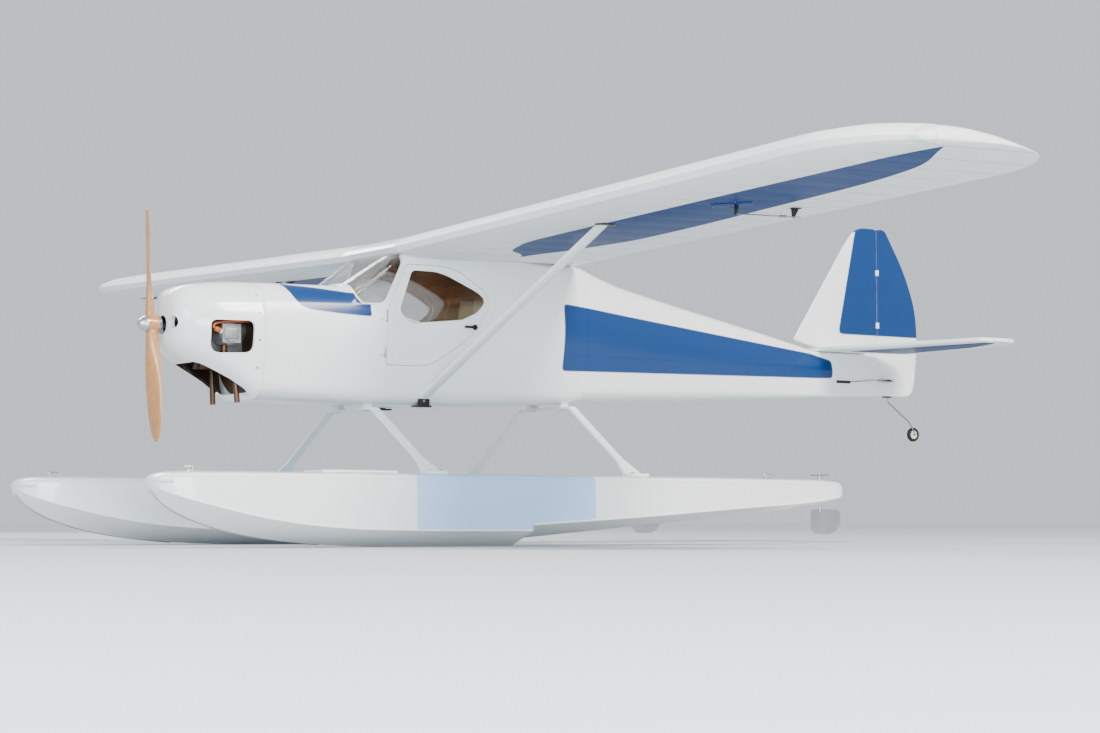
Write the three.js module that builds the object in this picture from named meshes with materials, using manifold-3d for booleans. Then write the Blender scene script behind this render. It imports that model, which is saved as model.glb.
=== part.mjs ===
// Radio-controlled scale model of a high-wing light floatplane, span 2.74 m.
// Millimetres. +X points forward to the nose, +Y to port, +Z up. The keels stand on z = 0.
// A station is a distance aft of the propeller's plane, and at() turns it into an X.

import * as THREE from "three";
import { mergeVertices } from "three/addons/utils/BufferGeometryUtils.js";
import Module from "manifold-3d";

const wasm = await Module();
wasm.setup();

// Driving dimensions
const GAP = 0.3;
const HINGE_GAP = 0.8;
const SKIN = 4;

const FLOAT_BOW_STATION = -130;
const FLOAT_LENGTH = 1410;
const FLOAT_TRACK_HALF = 287.5;
const STEP_FROM_BOW = 675;
const DECK_Z = 120;
const DECK_CROWN = 3;
const HATCH_FROM_BOW = [290, 430];

const TAIL_WHEEL_STATION = 1734;
const TAIL_WHEEL_RADIUS = 15;
const TAIL_WHEEL_WIDTH = 9;
const TAIL_WHEEL_Z = 225;
const WIRE_RADIUS = 1.5;

const NOSE_X = (TAIL_WHEEL_STATION + TAIL_WHEEL_RADIUS + FLOAT_BOW_STATION) / 2;
const at = (station) => NOSE_X - station;

const THRUST_Z = 378;
const PROPELLER_RADIUS = 203;
const SHAFT_RADIUS = 6;
const HUB_HALF = 9;
const CYLINDER_STATION = 112;
const CYLINDER_Z = 362;
const CYLINDER_RADIUS = 14;
const FIN_RADIUS = 19;
const FIN_PITCH = 4.4;
const MUFFLER_Y = 44;
const MUFFLER_Z = 318;
const INTAKE_Y = 42;
const INTAKE_Z = 380;
const PROPELLER_REST = THREE.MathUtils.degToRad(97);

const COWL_FRONT_STATION = 20;
const FIREWALL_STATION = 166;
const FIREWALL_THICKNESS = 4;
const WINDSCREEN_BASE_STATION = 334;
const WINDSCREEN_TOP_STATION = 424;
const REAR_BODY_STATION = 840;
const TAIL_POST_STATION = 1628;

const WING_SPAN_HALF = 1370;
const WING_CHORD = 400;
const WING_LEADING_STATION = 420;
const WING_THICKNESS = 0.12;
const WING_CAMBER = 0.03;
const WING_CHORD_Z = 528;
const WING_INCIDENCE = THREE.MathUtils.degToRad(1);
const WING_DIHEDRAL = THREE.MathUtils.degToRad(1.8);
const CENTRE_HALF_WIDTH = 96;
const TIP_START = 1185;
const TIP_SWEEP = THREE.MathUtils.degToRad(88);
const TIP_CENTRE = 0.55;
const AILERON_HINGE_CHORD = 0.775;
const AILERON_LIP = 4.8;
const AILERON_INNER = 700;
const AILERON_OUTER = 1165;

const STRUT_FOOT = { station: 492, y: 74, z: 262 };
const STRUT_HEAD = { station: 548, y: 570, z: 534 };
const STRUT_CHORD = 22;
const STRUT_THICKNESS = 8;

const TAIL_THICKNESS = 8;
const TAIL_SEAT_Z = 389;
const ELEVATOR_HINGE_STATION = 1590;
const RUDDER_HINGE_STATION = 1636;

const DOOR_HINGE_STATION = 404;
const GLASS_THICKNESS = 1.5;

const LEG_STATIONS = [390, 810];
const LEG_WIDTH = 16;
const LEG_THICKNESS = 4;
const LEG_FOOT_WIDTH = 36;
const BELLY_HALF = 80;
const BELLY_CLEARANCE = 7;
const SPREADER_RADIUS = 6;

const WATER_RUDDER_STATION = 1236;
const WATER_RUDDER_BORE = 3.5;
const WATER_RUDDER_POST = 2.5;

// Materials
const finish = (color, roughness, metalness = 0, opacity = 1) =>
  new THREE.MeshStandardMaterial({ color, roughness, metalness, opacity, transparent: opacity < 1 });
const WHITE = finish(0xf2f3f1, 0.3);
const BLUE = finish(0x14398c, 0.3);
const WOOD = finish(0xb98a55, 0.4);
const ALLOY = finish(0xb9bdc0, 0.35, 0.9);
const STEEL = finish(0x9a9c9e, 0.3, 1);
const DARK_STEEL = finish(0x35302c, 0.55, 0.8);
const TRIM = finish(0x5b4030, 0.8);
const CUSHION = finish(0xc9b48c, 0.85);
const CLEAR = finish(0xdfeaf0, 0.05, 0, 0.3);
const BLACK_RUBBER = finish(0x1c1c1d, 0.85);

const floatplane = new THREE.Group();

// Solids
function solidOf(geometry) {
  const bare = geometry.index ? geometry.toNonIndexed() : geometry.clone();
  bare.deleteAttribute("normal");
  bare.deleteAttribute("uv");
  const merged = mergeVertices(bare, 1e-4);
  const triVerts = new Uint32Array(merged.index.array);
  const vertProperties = merged.attributes.position.array;
  const solid = new wasm.Manifold(new wasm.Mesh({ numProp: 3, vertProperties, triVerts }));
  if (solid.volume() > 0) return solid;
  for (let i = 0; i < triVerts.length; i += 3) {
    [triVerts[i + 1], triVerts[i + 2]] = [triVerts[i + 2], triVerts[i + 1]];
  }
  return new wasm.Manifold(new wasm.Mesh({ numProp: 3, vertProperties, triVerts }));
}

function geometryOf(solid) {
  const { vertProperties, triVerts, numProp } = solid.getMesh();
  const positions = new Float32Array((vertProperties.length / numProp) * 3);
  for (let i = 0; i < positions.length / 3; i += 1) {
    positions.set(vertProperties.subarray(i * numProp, i * numProp + 3), i * 3);
  }
  const geometry = new THREE.BufferGeometry();
  geometry.setAttribute("position", new THREE.BufferAttribute(positions, 3));
  geometry.setIndex([...triVerts]);
  geometry.computeVertexNormals();
  return geometry;
}

function addPiece(name, solid, material) {
  const mesh = new THREE.Mesh(geometryOf(solid), material);
  mesh.name = name;
  floatplane.add(mesh);
}

// A port piece and its starboard mirror image
function addPair(name, solid, material) {
  addPiece(`${name}_left`, solid, material);
  addPiece(`${name}_right`, mirrored(solid), material);
}

function moved(geometry, x, y, z) {
  return solidOf(geometry.clone().translate(x, y, z));
}

function mirrored(solid) {
  return solidOf(geometryOf(solid).scale(1, -1, 1));
}

// The same solid a running gap lower, to cut what hangs under it
function lowered(solid) {
  return moved(geometryOf(solid), 0, 0, -GAP);
}

// A box from its low corner to its high corner
function block(low, high) {
  const size = high.map((value, i) => value - low[i]);
  const centre = high.map((value, i) => (value + low[i]) / 2);
  return moved(new THREE.BoxGeometry(...size), ...centre);
}

// A round bar between two points
function rod(from, to, radius, sides = 16, endRadius = radius) {
  const start = new THREE.Vector3(...from);
  const end = new THREE.Vector3(...to);
  const along = end.clone().sub(start);
  const geometry = new THREE.CylinderGeometry(endRadius, radius, along.length(), sides);
  const turn = new THREE.Quaternion().setFromUnitVectors(
    new THREE.Vector3(0, 1, 0),
    along.clone().normalize(),
  );
  const middle = start.clone().add(end).multiplyScalar(0.5);
  return solidOf(geometry.applyQuaternion(turn).translate(...middle.toArray()));
}

// A bent wire: rods joined by a ball at each bend
function wire(points, radius, sides = 10) {
  let whole = null;
  for (let i = 0; i + 1 < points.length; i += 1) {
    const piece = rod(points[i], points[i + 1], radius, sides);
    whole = whole ? whole.add(piece) : piece;
  }
  for (const bend of points.slice(1, -1)) {
    whole = whole.add(moved(new THREE.SphereGeometry(radius * 1.02, sides, 6), ...bend));
  }
  return whole;
}

// Points of a polygon whose corners are rounded. Each row: x, y, length cut off each edge at the corner.
// Every corner keeps at least the least radius
function roundedPoints(rows, steps = 4, least = 0) {
  const corners = rows.map(([x, y, radius]) => ({ p: new THREE.Vector2(x, y), radius }));
  const points = [];
  corners.forEach(({ p, radius }, i) => {
    const before = corners[(i + corners.length - 1) % corners.length].p;
    const after = corners[(i + 1) % corners.length].p;
    const angle = Math.abs(before.clone().sub(p).angleTo(after.clone().sub(p)));
    const wanted = Math.max(radius, least / Math.tan(angle / 2));
    const cut = Math.min(wanted, 0.48 * p.distanceTo(before), 0.48 * p.distanceTo(after));
    const start = before.clone().sub(p).setLength(cut).add(p);
    const end = after.clone().sub(p).setLength(cut).add(p);
    const curve = new THREE.QuadraticBezierCurve(start, p, end);
    for (let k = 0; k <= steps; k += 1) points.push(curve.getPoint(k / steps));
  });
  return points;
}

function shapeOf(rows, steps, least) {
  return new THREE.Shape(roundedPoints(rows, steps, least));
}

// A side outline of station and z rows, cut square through from one y to another
function sidePrism(rows, yLow, yHigh, steps) {
  const shape = shapeOf(rows.map(([station, z, radius]) => [at(station), z, radius]), steps);
  const geometry = new THREE.ExtrudeGeometry(shape, { depth: yHigh - yLow, bevelEnabled: false });
  return solidOf(geometry.rotateX(Math.PI / 2).translate(0, yHigh, 0));
}

// A plate with bevelled edges. Side plates stand on the centre plane, flat plates lie at height z
function plateGeometry(rows, thickness, bevel, steps) {
  const geometry = new THREE.ExtrudeGeometry(shapeOf(rows, steps, bevel * 2 + 0.5), {
    depth: thickness - 2 * bevel,
    bevelEnabled: bevel > 0,
    bevelThickness: bevel,
    bevelSize: bevel,
    bevelOffset: -bevel,
    bevelSegments: 2,
  });
  return geometry.translate(0, 0, bevel - thickness / 2);
}

function sidePlate(rows, thickness, bevel, steps) {
  const inPlace = rows.map(([station, z, radius]) => [at(station), z, radius]);
  return solidOf(plateGeometry(inPlace, thickness, bevel, steps).rotateX(Math.PI / 2));
}

function flatPlate(rows, z, thickness, bevel, steps) {
  const inPlace = rows.map(([station, y, radius]) => [at(station), y, radius]);
  return solidOf(plateGeometry(inPlace, thickness, bevel, steps).translate(0, 0, z));
}

// A closed loft through rings that have the same number of points
function loft(rings) {
  const count = rings[0].length;
  const positions = [];
  const triangles = [];
  for (const ring of rings) for (const p of ring) positions.push(p.x, p.y, p.z);
  for (let r = 0; r + 1 < rings.length; r += 1) {
    for (let i = 0; i < count; i += 1) {
      const j = (i + 1) % count;
      const [a, b, c, d] = [r * count + i, r * count + j, (r + 1) * count + j, (r + 1) * count + i];
      triangles.push(a, b, c, a, c, d);
    }
  }
  const cap = (ring, base, flip) => {
    const middle = positions.length / 3;
    const centre = new THREE.Vector3();
    for (const p of ring) centre.addScaledVector(p, 1 / count);
    positions.push(...centre.toArray());
    for (let i = 0; i < count; i += 1) {
      const [a, b] = [base + i, base + ((i + 1) % count)];
      triangles.push(...(flip ? [middle, a, b] : [middle, b, a]));
    }
  };
  cap(rings[0], 0, false);
  cap(rings[rings.length - 1], (rings.length - 1) * count, true);
  const geometry = new THREE.BufferGeometry();
  geometry.setAttribute("position", new THREE.Float32BufferAttribute(positions, 3));
  geometry.setIndex(triangles);
  return solidOf(geometry);
}

// More sections between the given ones, on a smooth curve through all of them
function eased(sections, parts) {
  const last = sections.length - 1;
  const read = (i) => sections[Math.min(Math.max(i, 0), last)];
  const between = (i, t) =>
    read(i).map((b, column) => {
      const [a, c, d] = [i - 1, i + 1, i + 2].map((n) => read(n)[column]);
      const cubic = 2 * a - 5 * b + 4 * c - d + t * (3 * (b - c) + d - a);
      return b + 0.5 * t * (c - a + t * cubic);
    });
  const found = [];
  for (let i = 0; i < last; i += 1) {
    for (let k = 0; k < parts; k += 1) found.push(between(i, k / parts));
  }
  return [...found, read(last)];
}

// Body sections: station, z of bottom, waist and top, half width at bottom, waist and top,
// corner radius at bottom, waist and top
const COWL_SECTIONS = eased(
  [
    [COWL_FRONT_STATION, 354, 384, 420, 32, 44, 30, 16, 13, 18],
    [28, 338, 384, 435, 45, 61, 43, 28, 20, 28],
    [44, 323, 384, 445, 56, 76, 52, 36, 26, 36],
    [76, 305, 384, 451, 64, 88, 60, 36, 29, 42],
    [120, 283, 383, 455, 71, 97, 67, 34, 32, 46],
    [FIREWALL_STATION, 252, 382, 456, 78, 101, 72, 32, 34, 50],
  ],
  2,
);
const FRONT_SECTIONS = [
  [FIREWALL_STATION + FIREWALL_THICKNESS, 252, 382, 456, 78, 101, 72, 32, 34, 50],
  [WINDSCREEN_BASE_STATION, 250, 388, 458, 82, 108, 84, 28, 34, 40],
  [WINDSCREEN_TOP_STATION, 250, 392, 520, 82, 108, 92, 26, 34, 24],
  [560, 250, 392, 540, 82, 108, 94, 26, 34, 12],
  [REAR_BODY_STATION, 264, 391, 520, 74, 98, 80, 28, 34, 30],
];
const REAR_SECTIONS = [
  ...eased(
    [
      [REAR_BODY_STATION, 264, 391, 520, 74, 98, 80, 28, 34, 30],
      [940, 269, 384, 492, 66, 86, 62, 28, 30, 34],
      [1120, 278, 374, 457, 50, 65, 42, 24, 22, 28],
      [1320, 288, 360, 418, 33, 41, 26, 15, 14, 16],
      [1455, 295, 350, 389, 21, 25, 16, 9, 8, 9],
    ],
    2,
  ),
  [TAIL_POST_STATION, 303, 348, 389, 9, 10, 9, 4, 3, 4],
];

function bodyRing([station, bottomZ, waistZ, topZ, bottomY, waistY, topY, bottomR, waistR, topR], inset) {
  const rows = [
    [topY - inset, topZ - inset, topR - inset * 0.6],
    [waistY - inset, waistZ, waistR],
    [bottomY - inset, bottomZ + inset, bottomR - inset * 0.6],
    [inset - bottomY, bottomZ + inset, bottomR - inset * 0.6],
    [inset - waistY, waistZ, waistR],
    [inset - topY, topZ - inset, topR - inset * 0.6],
  ].map(([y, z, radius]) => [y, z, Math.max(radius, 1)]);
  return roundedPoints(rows).map((p) => new THREE.Vector3(at(station), p.x, p.y));
}

function bodyLoft(sections, inset = 0) {
  return loft(sections.map((section) => bodyRing(section, inset)));
}

// The same sections with the end ones moved, so that a cut runs out past a face or stops short of it
function withEnds(sections, frontShift, rearShift) {
  const last = sections.length - 1;
  return sections.map((section, i) => {
    const shift = i === 0 ? frontShift : i === last ? rearShift : 0;
    return [section[0] + shift, ...section.slice(1)];
  });
}

// Wing section, station aft of the leading edge and height over the chord line
function airfoil(chord, thickness = WING_THICKNESS, camber = WING_CAMBER, steps = 11) {
  const point = (fraction, side) => {
    const half =
      5 *
      thickness *
      (0.2969 * Math.sqrt(fraction) -
        0.126 * fraction -
        0.3516 * fraction ** 2 +
        0.2843 * fraction ** 3 -
        0.1015 * fraction ** 4);
    const p = 0.4;
    const mean =
      fraction < p
        ? (camber / p ** 2) * (2 * p * fraction - fraction ** 2)
        : (camber / (1 - p) ** 2) * (1 - 2 * p + 2 * p * fraction - fraction ** 2);
    return [fraction * chord, (mean + side * Math.max(half, 0.0022)) * chord];
  };
  const fractions = Array.from({ length: steps + 1 }, (_, i) => (1 - Math.cos((Math.PI * i) / steps)) / 2);
  const upper = fractions.map((f) => point(f, 1)).reverse();
  const lower = fractions.slice(1).map((f) => point(f, -1));
  return [...upper, ...lower];
}

// Wing solids are built flat, with the leading edge at x = 0 and the span along y, then turned into place
function wingRing(y, chordFraction = 1, centreFraction = 0.5) {
  const start = (1 - chordFraction) * WING_CHORD * centreFraction;
  return airfoil(WING_CHORD * chordFraction).map(
    ([aft, height]) => new THREE.Vector3(-aft - start, y, height),
  );
}

// The panels rise from the edges of the centre section, so the skins meet flush there
function inWingPlace(solid, dihedral = WING_DIHEDRAL) {
  const rootDrop = CENTRE_HALF_WIDTH * Math.tan(dihedral);
  const matrix = new THREE.Matrix4()
    .makeTranslation(at(WING_LEADING_STATION), 0, WING_CHORD_Z - rootDrop)
    .multiply(new THREE.Matrix4().makeRotationX(dihedral))
    .multiply(new THREE.Matrix4().makeRotationY(-WING_INCIDENCE));
  return solidOf(geometryOf(solid).applyMatrix4(matrix));
}

function wingHeight(fraction) {
  const rows = airfoil(1);
  const upper = rows.filter((_, i) => i <= (rows.length - 1) / 2);
  const lower = rows.filter((_, i) => i >= (rows.length - 1) / 2);
  const read = (list) => {
    const sorted = [...list].sort((a, b) => a[0] - b[0]);
    const next = sorted.findIndex(([f]) => f >= fraction);
    const [f0, h0] = sorted[next - 1];
    const [f1, h1] = sorted[next];
    return h0 + ((h1 - h0) * (fraction - f0)) / (f1 - f0);
  };
  return { upper: read(upper) * WING_CHORD, lower: read(lower) * WING_CHORD };
}

// Wing panel with a round tip
function wingPanel() {
  const rings = [wingRing(CENTRE_HALF_WIDTH + 1.5), wingRing(TIP_START)];
  const tipSteps = 10;
  const tipLength = (WING_SPAN_HALF - TIP_START) / Math.sin(TIP_SWEEP);
  for (let i = 1; i <= tipSteps; i += 1) {
    const angle = (i / tipSteps) * TIP_SWEEP;
    rings.push(wingRing(TIP_START + tipLength * Math.sin(angle), Math.cos(angle) ** 0.7, TIP_CENTRE));
  }
  return loft(rings);
}

function aileronHinge() {
  const { upper, lower } = wingHeight(AILERON_HINGE_CHORD);
  return {
    x: -AILERON_HINGE_CHORD * WING_CHORD,
    z: (upper + lower) / 2,
    radius: (upper - lower) / 2 - 0.6,
  };
}

function makeWings() {
  const panel = wingPanel();
  const hinge = aileronHinge();
  const bay = block(
    [-WING_CHORD - 10, AILERON_INNER, hinge.z - 60],
    [hinge.x + AILERON_LIP, AILERON_OUTER, hinge.z + 60],
  ).add(
    rod([hinge.x, AILERON_INNER, hinge.z], [hinge.x, AILERON_OUTER, hinge.z], hinge.radius + HINGE_GAP, 32),
  );
  const inner = AILERON_INNER + 2;
  const outer = AILERON_OUTER - 2;
  const nose = rod([hinge.x, inner, hinge.z], [hinge.x, outer, hinge.z], hinge.radius, 32);
  const flap = panel.intersect(
    block([-WING_CHORD - 10, inner, hinge.z - 60], [hinge.x, outer, hinge.z + 60]),
  );
  addPair("wing", inWingPlace(panel.subtract(bay)), WHITE);
  addPair("aileron", inWingPlace(flap.add(nose)), WHITE);
  return panel;
}

// The wing's centre section is the cabin's roof
function makeRoof() {
  const roof = loft([wingRing(-CENTRE_HALF_WIDTH), wingRing(CENTRE_HALF_WIDTH)]);
  const room = solidOf(geometryOf(roof).scale(1.002, 1.2, 1.012));
  addPiece("cabin_roof", inWingPlace(roof, 0), WHITE);
  return inWingPlace(room, 0);
}

// A streamlined bar between two points, its chord fore and aft
function streamBar(from, to, chord, thickness) {
  const start = new THREE.Vector3(...from);
  const end = new THREE.Vector3(...to);
  const axis = end.clone().sub(start).normalize();
  const fore = new THREE.Vector3(1, 0, 0).addScaledVector(axis, -axis.x).normalize();
  const side = new THREE.Vector3().crossVectors(axis, fore);
  const ring = (centre) =>
    Array.from({ length: 16 }, (_, i) => {
      const angle = (i / 16) * Math.PI * 2;
      return centre
        .clone()
        .addScaledVector(fore, (Math.cos(angle) * chord) / 2)
        .addScaledVector(side, (Math.sin(angle) * thickness) / 2);
    });
  return loft([ring(start), ring(end)]);
}

function makeStruts(wing, body) {
  const foot = new THREE.Vector3(at(STRUT_FOOT.station), STRUT_FOOT.y, STRUT_FOOT.z);
  const seat = new THREE.Vector3(at(STRUT_HEAD.station), STRUT_HEAD.y, STRUT_HEAD.z);
  const head = foot.clone().lerp(seat, 1.05);
  const bar = streamBar(foot.toArray(), head.toArray(), STRUT_CHORD, STRUT_THICKNESS);
  addPair("strut", bar.subtract(wing).subtract(body), WHITE);
}

// Body outlines on the side: station, z, corner radius
const DOOR_OUTLINE = [
  [DOOR_HINGE_STATION, 318, 8],
  [DOOR_HINGE_STATION, 418, 20],
  [446, 500, 8],
  [545, 500, 36],
  [626, 446, 30],
  [584, 378, 44],
  [494, 318, 26],
];
const WINDOW_OUTLINE = [
  [456, 490, 8],
  [512, 490, 20],
  [562, 472, 26],
  [617, 443, 24],
  [574, 404, 26],
  [452, 392, 18],
  [424, 412, 14],
];
const SCREEN_OUTLINE = [
  [340, 700, 1],
  [340, 462, 1],
  [350, 424, 10],
  [399, 424, 12],
  [438, 500, 10],
  [438, 700, 1],
];
const CHEEK_OUTLINE = [
  [72, 384, 12],
  [148, 384, 12],
  [148, 330, 14],
  [76, 328, 18],
];

// Air outlet under the engine: station, y, corner radius
const OUTLET_OUTLINE = [
  [60, -44, 18],
  [60, 44, 18],
  [156, 62, 14],
  [156, -62, 14],
];

// Opening above the cabin that the wing's centre section covers: station, y, corner radius
const CEILING_OUTLINE = [
  [WINDSCREEN_TOP_STATION + 4, -84, 1],
  [WINDSCREEN_TOP_STATION + 4, 84, 1],
  [690, 84, 20],
  [REAR_BODY_STATION - 34, 44, 1],
  [REAR_BODY_STATION - 34, -44, 1],
  [690, -84, 20],
];

function grown(rows, amount) {
  const middle = [0, 1].map((k) => rows.reduce((sum, row) => sum + row[k], 0) / rows.length);
  const reach = [0, 1].map((k) => Math.max(...rows.map((row) => Math.abs(row[k] - middle[k]))));
  return rows.map(([station, z, radius]) => [
    middle[0] + (station - middle[0]) * (1 + amount / reach[0]),
    middle[1] + (z - middle[1]) * (1 + amount / reach[1]),
    radius,
  ]);
}

function makeCowl() {
  const outside = bodyLoft(withEnds(COWL_SECTIONS, 0, -GAP));
  const hollow = COWL_SECTIONS.filter(([station]) => station > COWL_FRONT_STATION + SKIN);
  const inside = bodyLoft(withEnds(hollow, 0, 2), SKIN);
  let cowl = outside.subtract(inside);
  cowl = cowl.subtract(sidePrism(CHEEK_OUTLINE, -200, 200));
  cowl = cowl.subtract(flatPlate(OUTLET_OUTLINE, 260, 110, 0, 4));
  cowl = cowl.subtract(rod([at(0), 0, THRUST_Z], [at(60), 0, THRUST_Z], 16, 24));
  for (const side of [-1, 1]) {
    const y = side * INTAKE_Y;
    cowl = cowl.subtract(rod([at(10), y, INTAKE_Z], [at(60), y, INTAKE_Z], 11, 24));
  }
  addPiece("cowl", cowl, WHITE);
}

// A finned cylinder that lies across the body, with its head outwards
function finnedCylinder(inner, fins) {
  const [x, z] = [at(CYLINDER_STATION), CYLINDER_Z];
  const outer = inner + fins * FIN_PITCH;
  let whole = rod([x, inner, z], [x, outer + 8, z], CYLINDER_RADIUS, 24);
  for (let i = 0; i < fins; i += 1) {
    const y = inner + (i + 0.5) * FIN_PITCH;
    whole = whole.add(rod([x, y, z], [x, y + 1.4, z], FIN_RADIUS, 28));
  }
  const head = block([x - 17, outer, z - 16], [x + 17, outer + 6, z + 16]);
  return whole.add(head);
}

function makeEngine() {
  const crank = block([at(154), -34, THRUST_Z - 44], [at(54), 34, THRUST_Z + 30]);
  const mount = rod([at(154), 0, THRUST_Z], [at(FIREWALL_STATION) + GAP, 0, THRUST_Z], 26, 20);
  addPiece("engine_crankcase", crank.add(mount), ALLOY);
  const outline = FRONT_SECTIONS[0].slice(1);
  const plate = [FIREWALL_STATION, FIREWALL_STATION + FIREWALL_THICKNESS - GAP];
  addPiece("firewall", bodyLoft(plate.map((station) => [station, ...outline])), TRIM);
  const shaft = rod([at(54) + GAP, 0, THRUST_Z], [at(4), 0, THRUST_Z], SHAFT_RADIUS, 20);
  const washer = rod([at(14), 0, THRUST_Z], [at(HUB_HALF + GAP), 0, THRUST_Z], 14, 24);
  addPiece("propeller_shaft", shaft.add(washer), STEEL);
  addPair("cylinder", finnedCylinder(34 + GAP, 9), DARK_STEEL);
  const silencer = rod([at(152), MUFFLER_Y, MUFFLER_Z], [at(96), MUFFLER_Y, MUFFLER_Z], 11.5, 24);
  const outlet = rod([at(134), MUFFLER_Y, MUFFLER_Z], [at(139), 48, 246], 5, 16);
  const headerTop = CYLINDER_Z - FIN_RADIUS - GAP;
  const x = at(CYLINDER_STATION);
  const header = rod([x, 50, MUFFLER_Z], [x, 50, headerTop], 6, 16);
  addPair("muffler", silencer.add(outlet).add(header), DARK_STEEL);
}

// Propeller blade sections: radius, chord, thickness, pitch angle in degrees
const BLADE_SECTIONS = eased(
  [
    [10, 20, 16, 58],
    [34, 25, 12, 44],
    [70, 33, 9, 28],
    [110, 38, 7, 21],
    [145, 37, 5.6, 17],
    [175, 31, 4.2, 14],
    [193, 21, 3, 13],
    [201, 11, 2, 12],
    [PROPELLER_RADIUS, 3, 1, 12],
  ],
  2,
);

// The rear face of a blade is flatter than the front one
function blade() {
  const rings = BLADE_SECTIONS.map(([radius, chord, thickness, pitch]) => {
    const turn = THREE.MathUtils.degToRad(pitch);
    return Array.from({ length: 16 }, (_, i) => {
      const angle = (i / 16) * Math.PI * 2;
      const along = (Math.cos(angle) * chord) / 2;
      const share = Math.sin(angle) > 0 ? 0.68 : 0.32;
      const through = Math.sin(angle) * thickness * share;
      return new THREE.Vector3(
        through * Math.cos(turn) + along * Math.sin(turn),
        radius,
        through * Math.sin(turn) - along * Math.cos(turn),
      );
    });
  });
  return loft(rings);
}

function makePropeller() {
  const one = blade();
  const other = solidOf(geometryOf(one).rotateX(Math.PI));
  const hub = rod([-HUB_HALF, 0, 0], [HUB_HALF, 0, 0], 15, 24);
  const bore = rod([-20, 0, 0], [20, 0, 0], SHAFT_RADIUS + GAP, 20);
  const slab = block([-HUB_HALF, -300, -300], [HUB_HALF, 300, 300]);
  const whole = one.add(other).add(hub).intersect(slab).subtract(bore);
  const turned = geometryOf(whole).rotateX(PROPELLER_REST);
  addPiece("propeller", moved(turned, at(0), 0, THRUST_Z), WOOD);
  const nut = new THREE.LatheGeometry(
    [[0, 0], [14, 0], [14, 4], [11, 10], [6, 15], [0, 17]].map(([r, h]) => new THREE.Vector2(r, h)),
    24,
  ).rotateZ(-Math.PI / 2);
  addPiece("propeller_nut", moved(nut, at(0) + HUB_HALF + GAP, 0, THRUST_Z), ALLOY);
}

function makeBody(roofRoom) {
  const outside = bodyLoft(withEnds(FRONT_SECTIONS, GAP, -GAP));
  const inside = bodyLoft(withEnds(FRONT_SECTIONS, -2, 2), SKIN);
  const wall = outside.subtract(inside);
  const doorCut = sidePrism(DOOR_OUTLINE, 0, 200, 6);
  const door = sidePrism(grown(DOOR_OUTLINE, -1), 0, 200, 6);
  const screenCut = sidePrism(SCREEN_OUTLINE, -200, 200);
  const ceiling = flatPlate(CEILING_OUTLINE, 495, 100, 0);
  const opened = wall.subtract(doorCut).subtract(mirrored(doorCut)).subtract(screenCut).subtract(ceiling);
  const front = opened.subtract(roofRoom).decompose().sort((a, b) => b.volume() - a.volume())[0];
  addPiece("fuselage_front", front, WHITE);
  const windowCut = sidePrism(WINDOW_OUTLINE, 0, 200, 6);
  addPair("door", wall.intersect(door).subtract(windowCut), WHITE);
  const pane = outside.subtract(bodyLoft(withEnds(FRONT_SECTIONS, -2, 2), GLASS_THICKNESS));
  const glass = sidePrism(grown(WINDOW_OUTLINE, -GAP), 0, 200, 6);
  addPair("door_glass", pane.intersect(glass), CLEAR);
  const screen = sidePrism(grown(SCREEN_OUTLINE, -GAP), -200, 200);
  addPiece("windscreen", pane.intersect(screen).subtract(roofRoom), CLEAR);
  const rearOutside = bodyLoft(REAR_SECTIONS);
  const rearInside = bodyLoft(withEnds(REAR_SECTIONS, -2, -SKIN), SKIN);
  addPiece("fuselage_rear", rearOutside.subtract(rearInside).subtract(roofRoom), WHITE);
  return outside;
}

function makeInterior() {
  const room = bodyLoft(FRONT_SECTIONS, SKIN + GAP);
  const panel = room.intersect(block([at(352), -120, 372], [at(347), 120, 452]));
  addPiece("instrument_panel", panel, TRIM);
  const bulkhead = room
    .intersect(block([at(703), -120, 200], [at(700), 120, 506]))
    .subtract(rod([at(720), 0, 320], [at(680), 0, 320], 36, 24));
  addPiece("cabin_bulkhead", bulkhead, TRIM);
  const cushion = block([at(668), -84, 300], [at(520), 84, 330]);
  const base = block([at(664), -66, 254 + GAP], [at(524), 66, 300]);
  addPiece("seat_base", base.intersect(room), TRIM);
  addPiece("seat_cushion", moved(geometryOf(cushion), 0, 0, GAP).intersect(room), CUSHION);
  const back = block([-12, -84, 0], [12, 84, 130]);
  const leaned = geometryOf(back).rotateY(THREE.MathUtils.degToRad(-12));
  addPiece("seat_back", moved(leaned, at(650), 0, 333.1), CUSHION);
}

// Tail outlines: station, z or y, corner radius
const FIN_OUTLINE = [
  [1412, TAIL_SEAT_Z + 22, 2],
  [1552, 618, 30],
  [1580, 652, 20],
  [RUDDER_HINGE_STATION - 5.8, 652, 4],
  [RUDDER_HINGE_STATION - 5.8, TAIL_SEAT_Z + 9, 1],
  [1470, TAIL_SEAT_Z + 9, 1],
];
const RUDDER_OUTLINE = [
  [RUDDER_HINGE_STATION, 652, 2],
  [1656, 652, 20],
  [1712, 562, 44],
  [1743, 478, 44],
  [1743, 392, 50],
  [1730, 303, 26],
  [RUDDER_HINGE_STATION, 303, 4],
];
const STABILISER_OUTLINE = [
  [1466, 0, 1],
  [1466, 60, 20],
  [1556, 392, 26],
  [ELEVATOR_HINGE_STATION - 4.6, 400, 6],
  [ELEVATOR_HINGE_STATION - 4.6, 0, 1],
];
const ELEVATOR_OUTLINE = [
  [ELEVATOR_HINGE_STATION, 22, 1],
  [ELEVATOR_HINGE_STATION, 400, 2],
  [1640, 400, 24],
  [1690, 330, 50],
  [1694, 48, 14],
  [1640, 24, 6],
];

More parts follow.
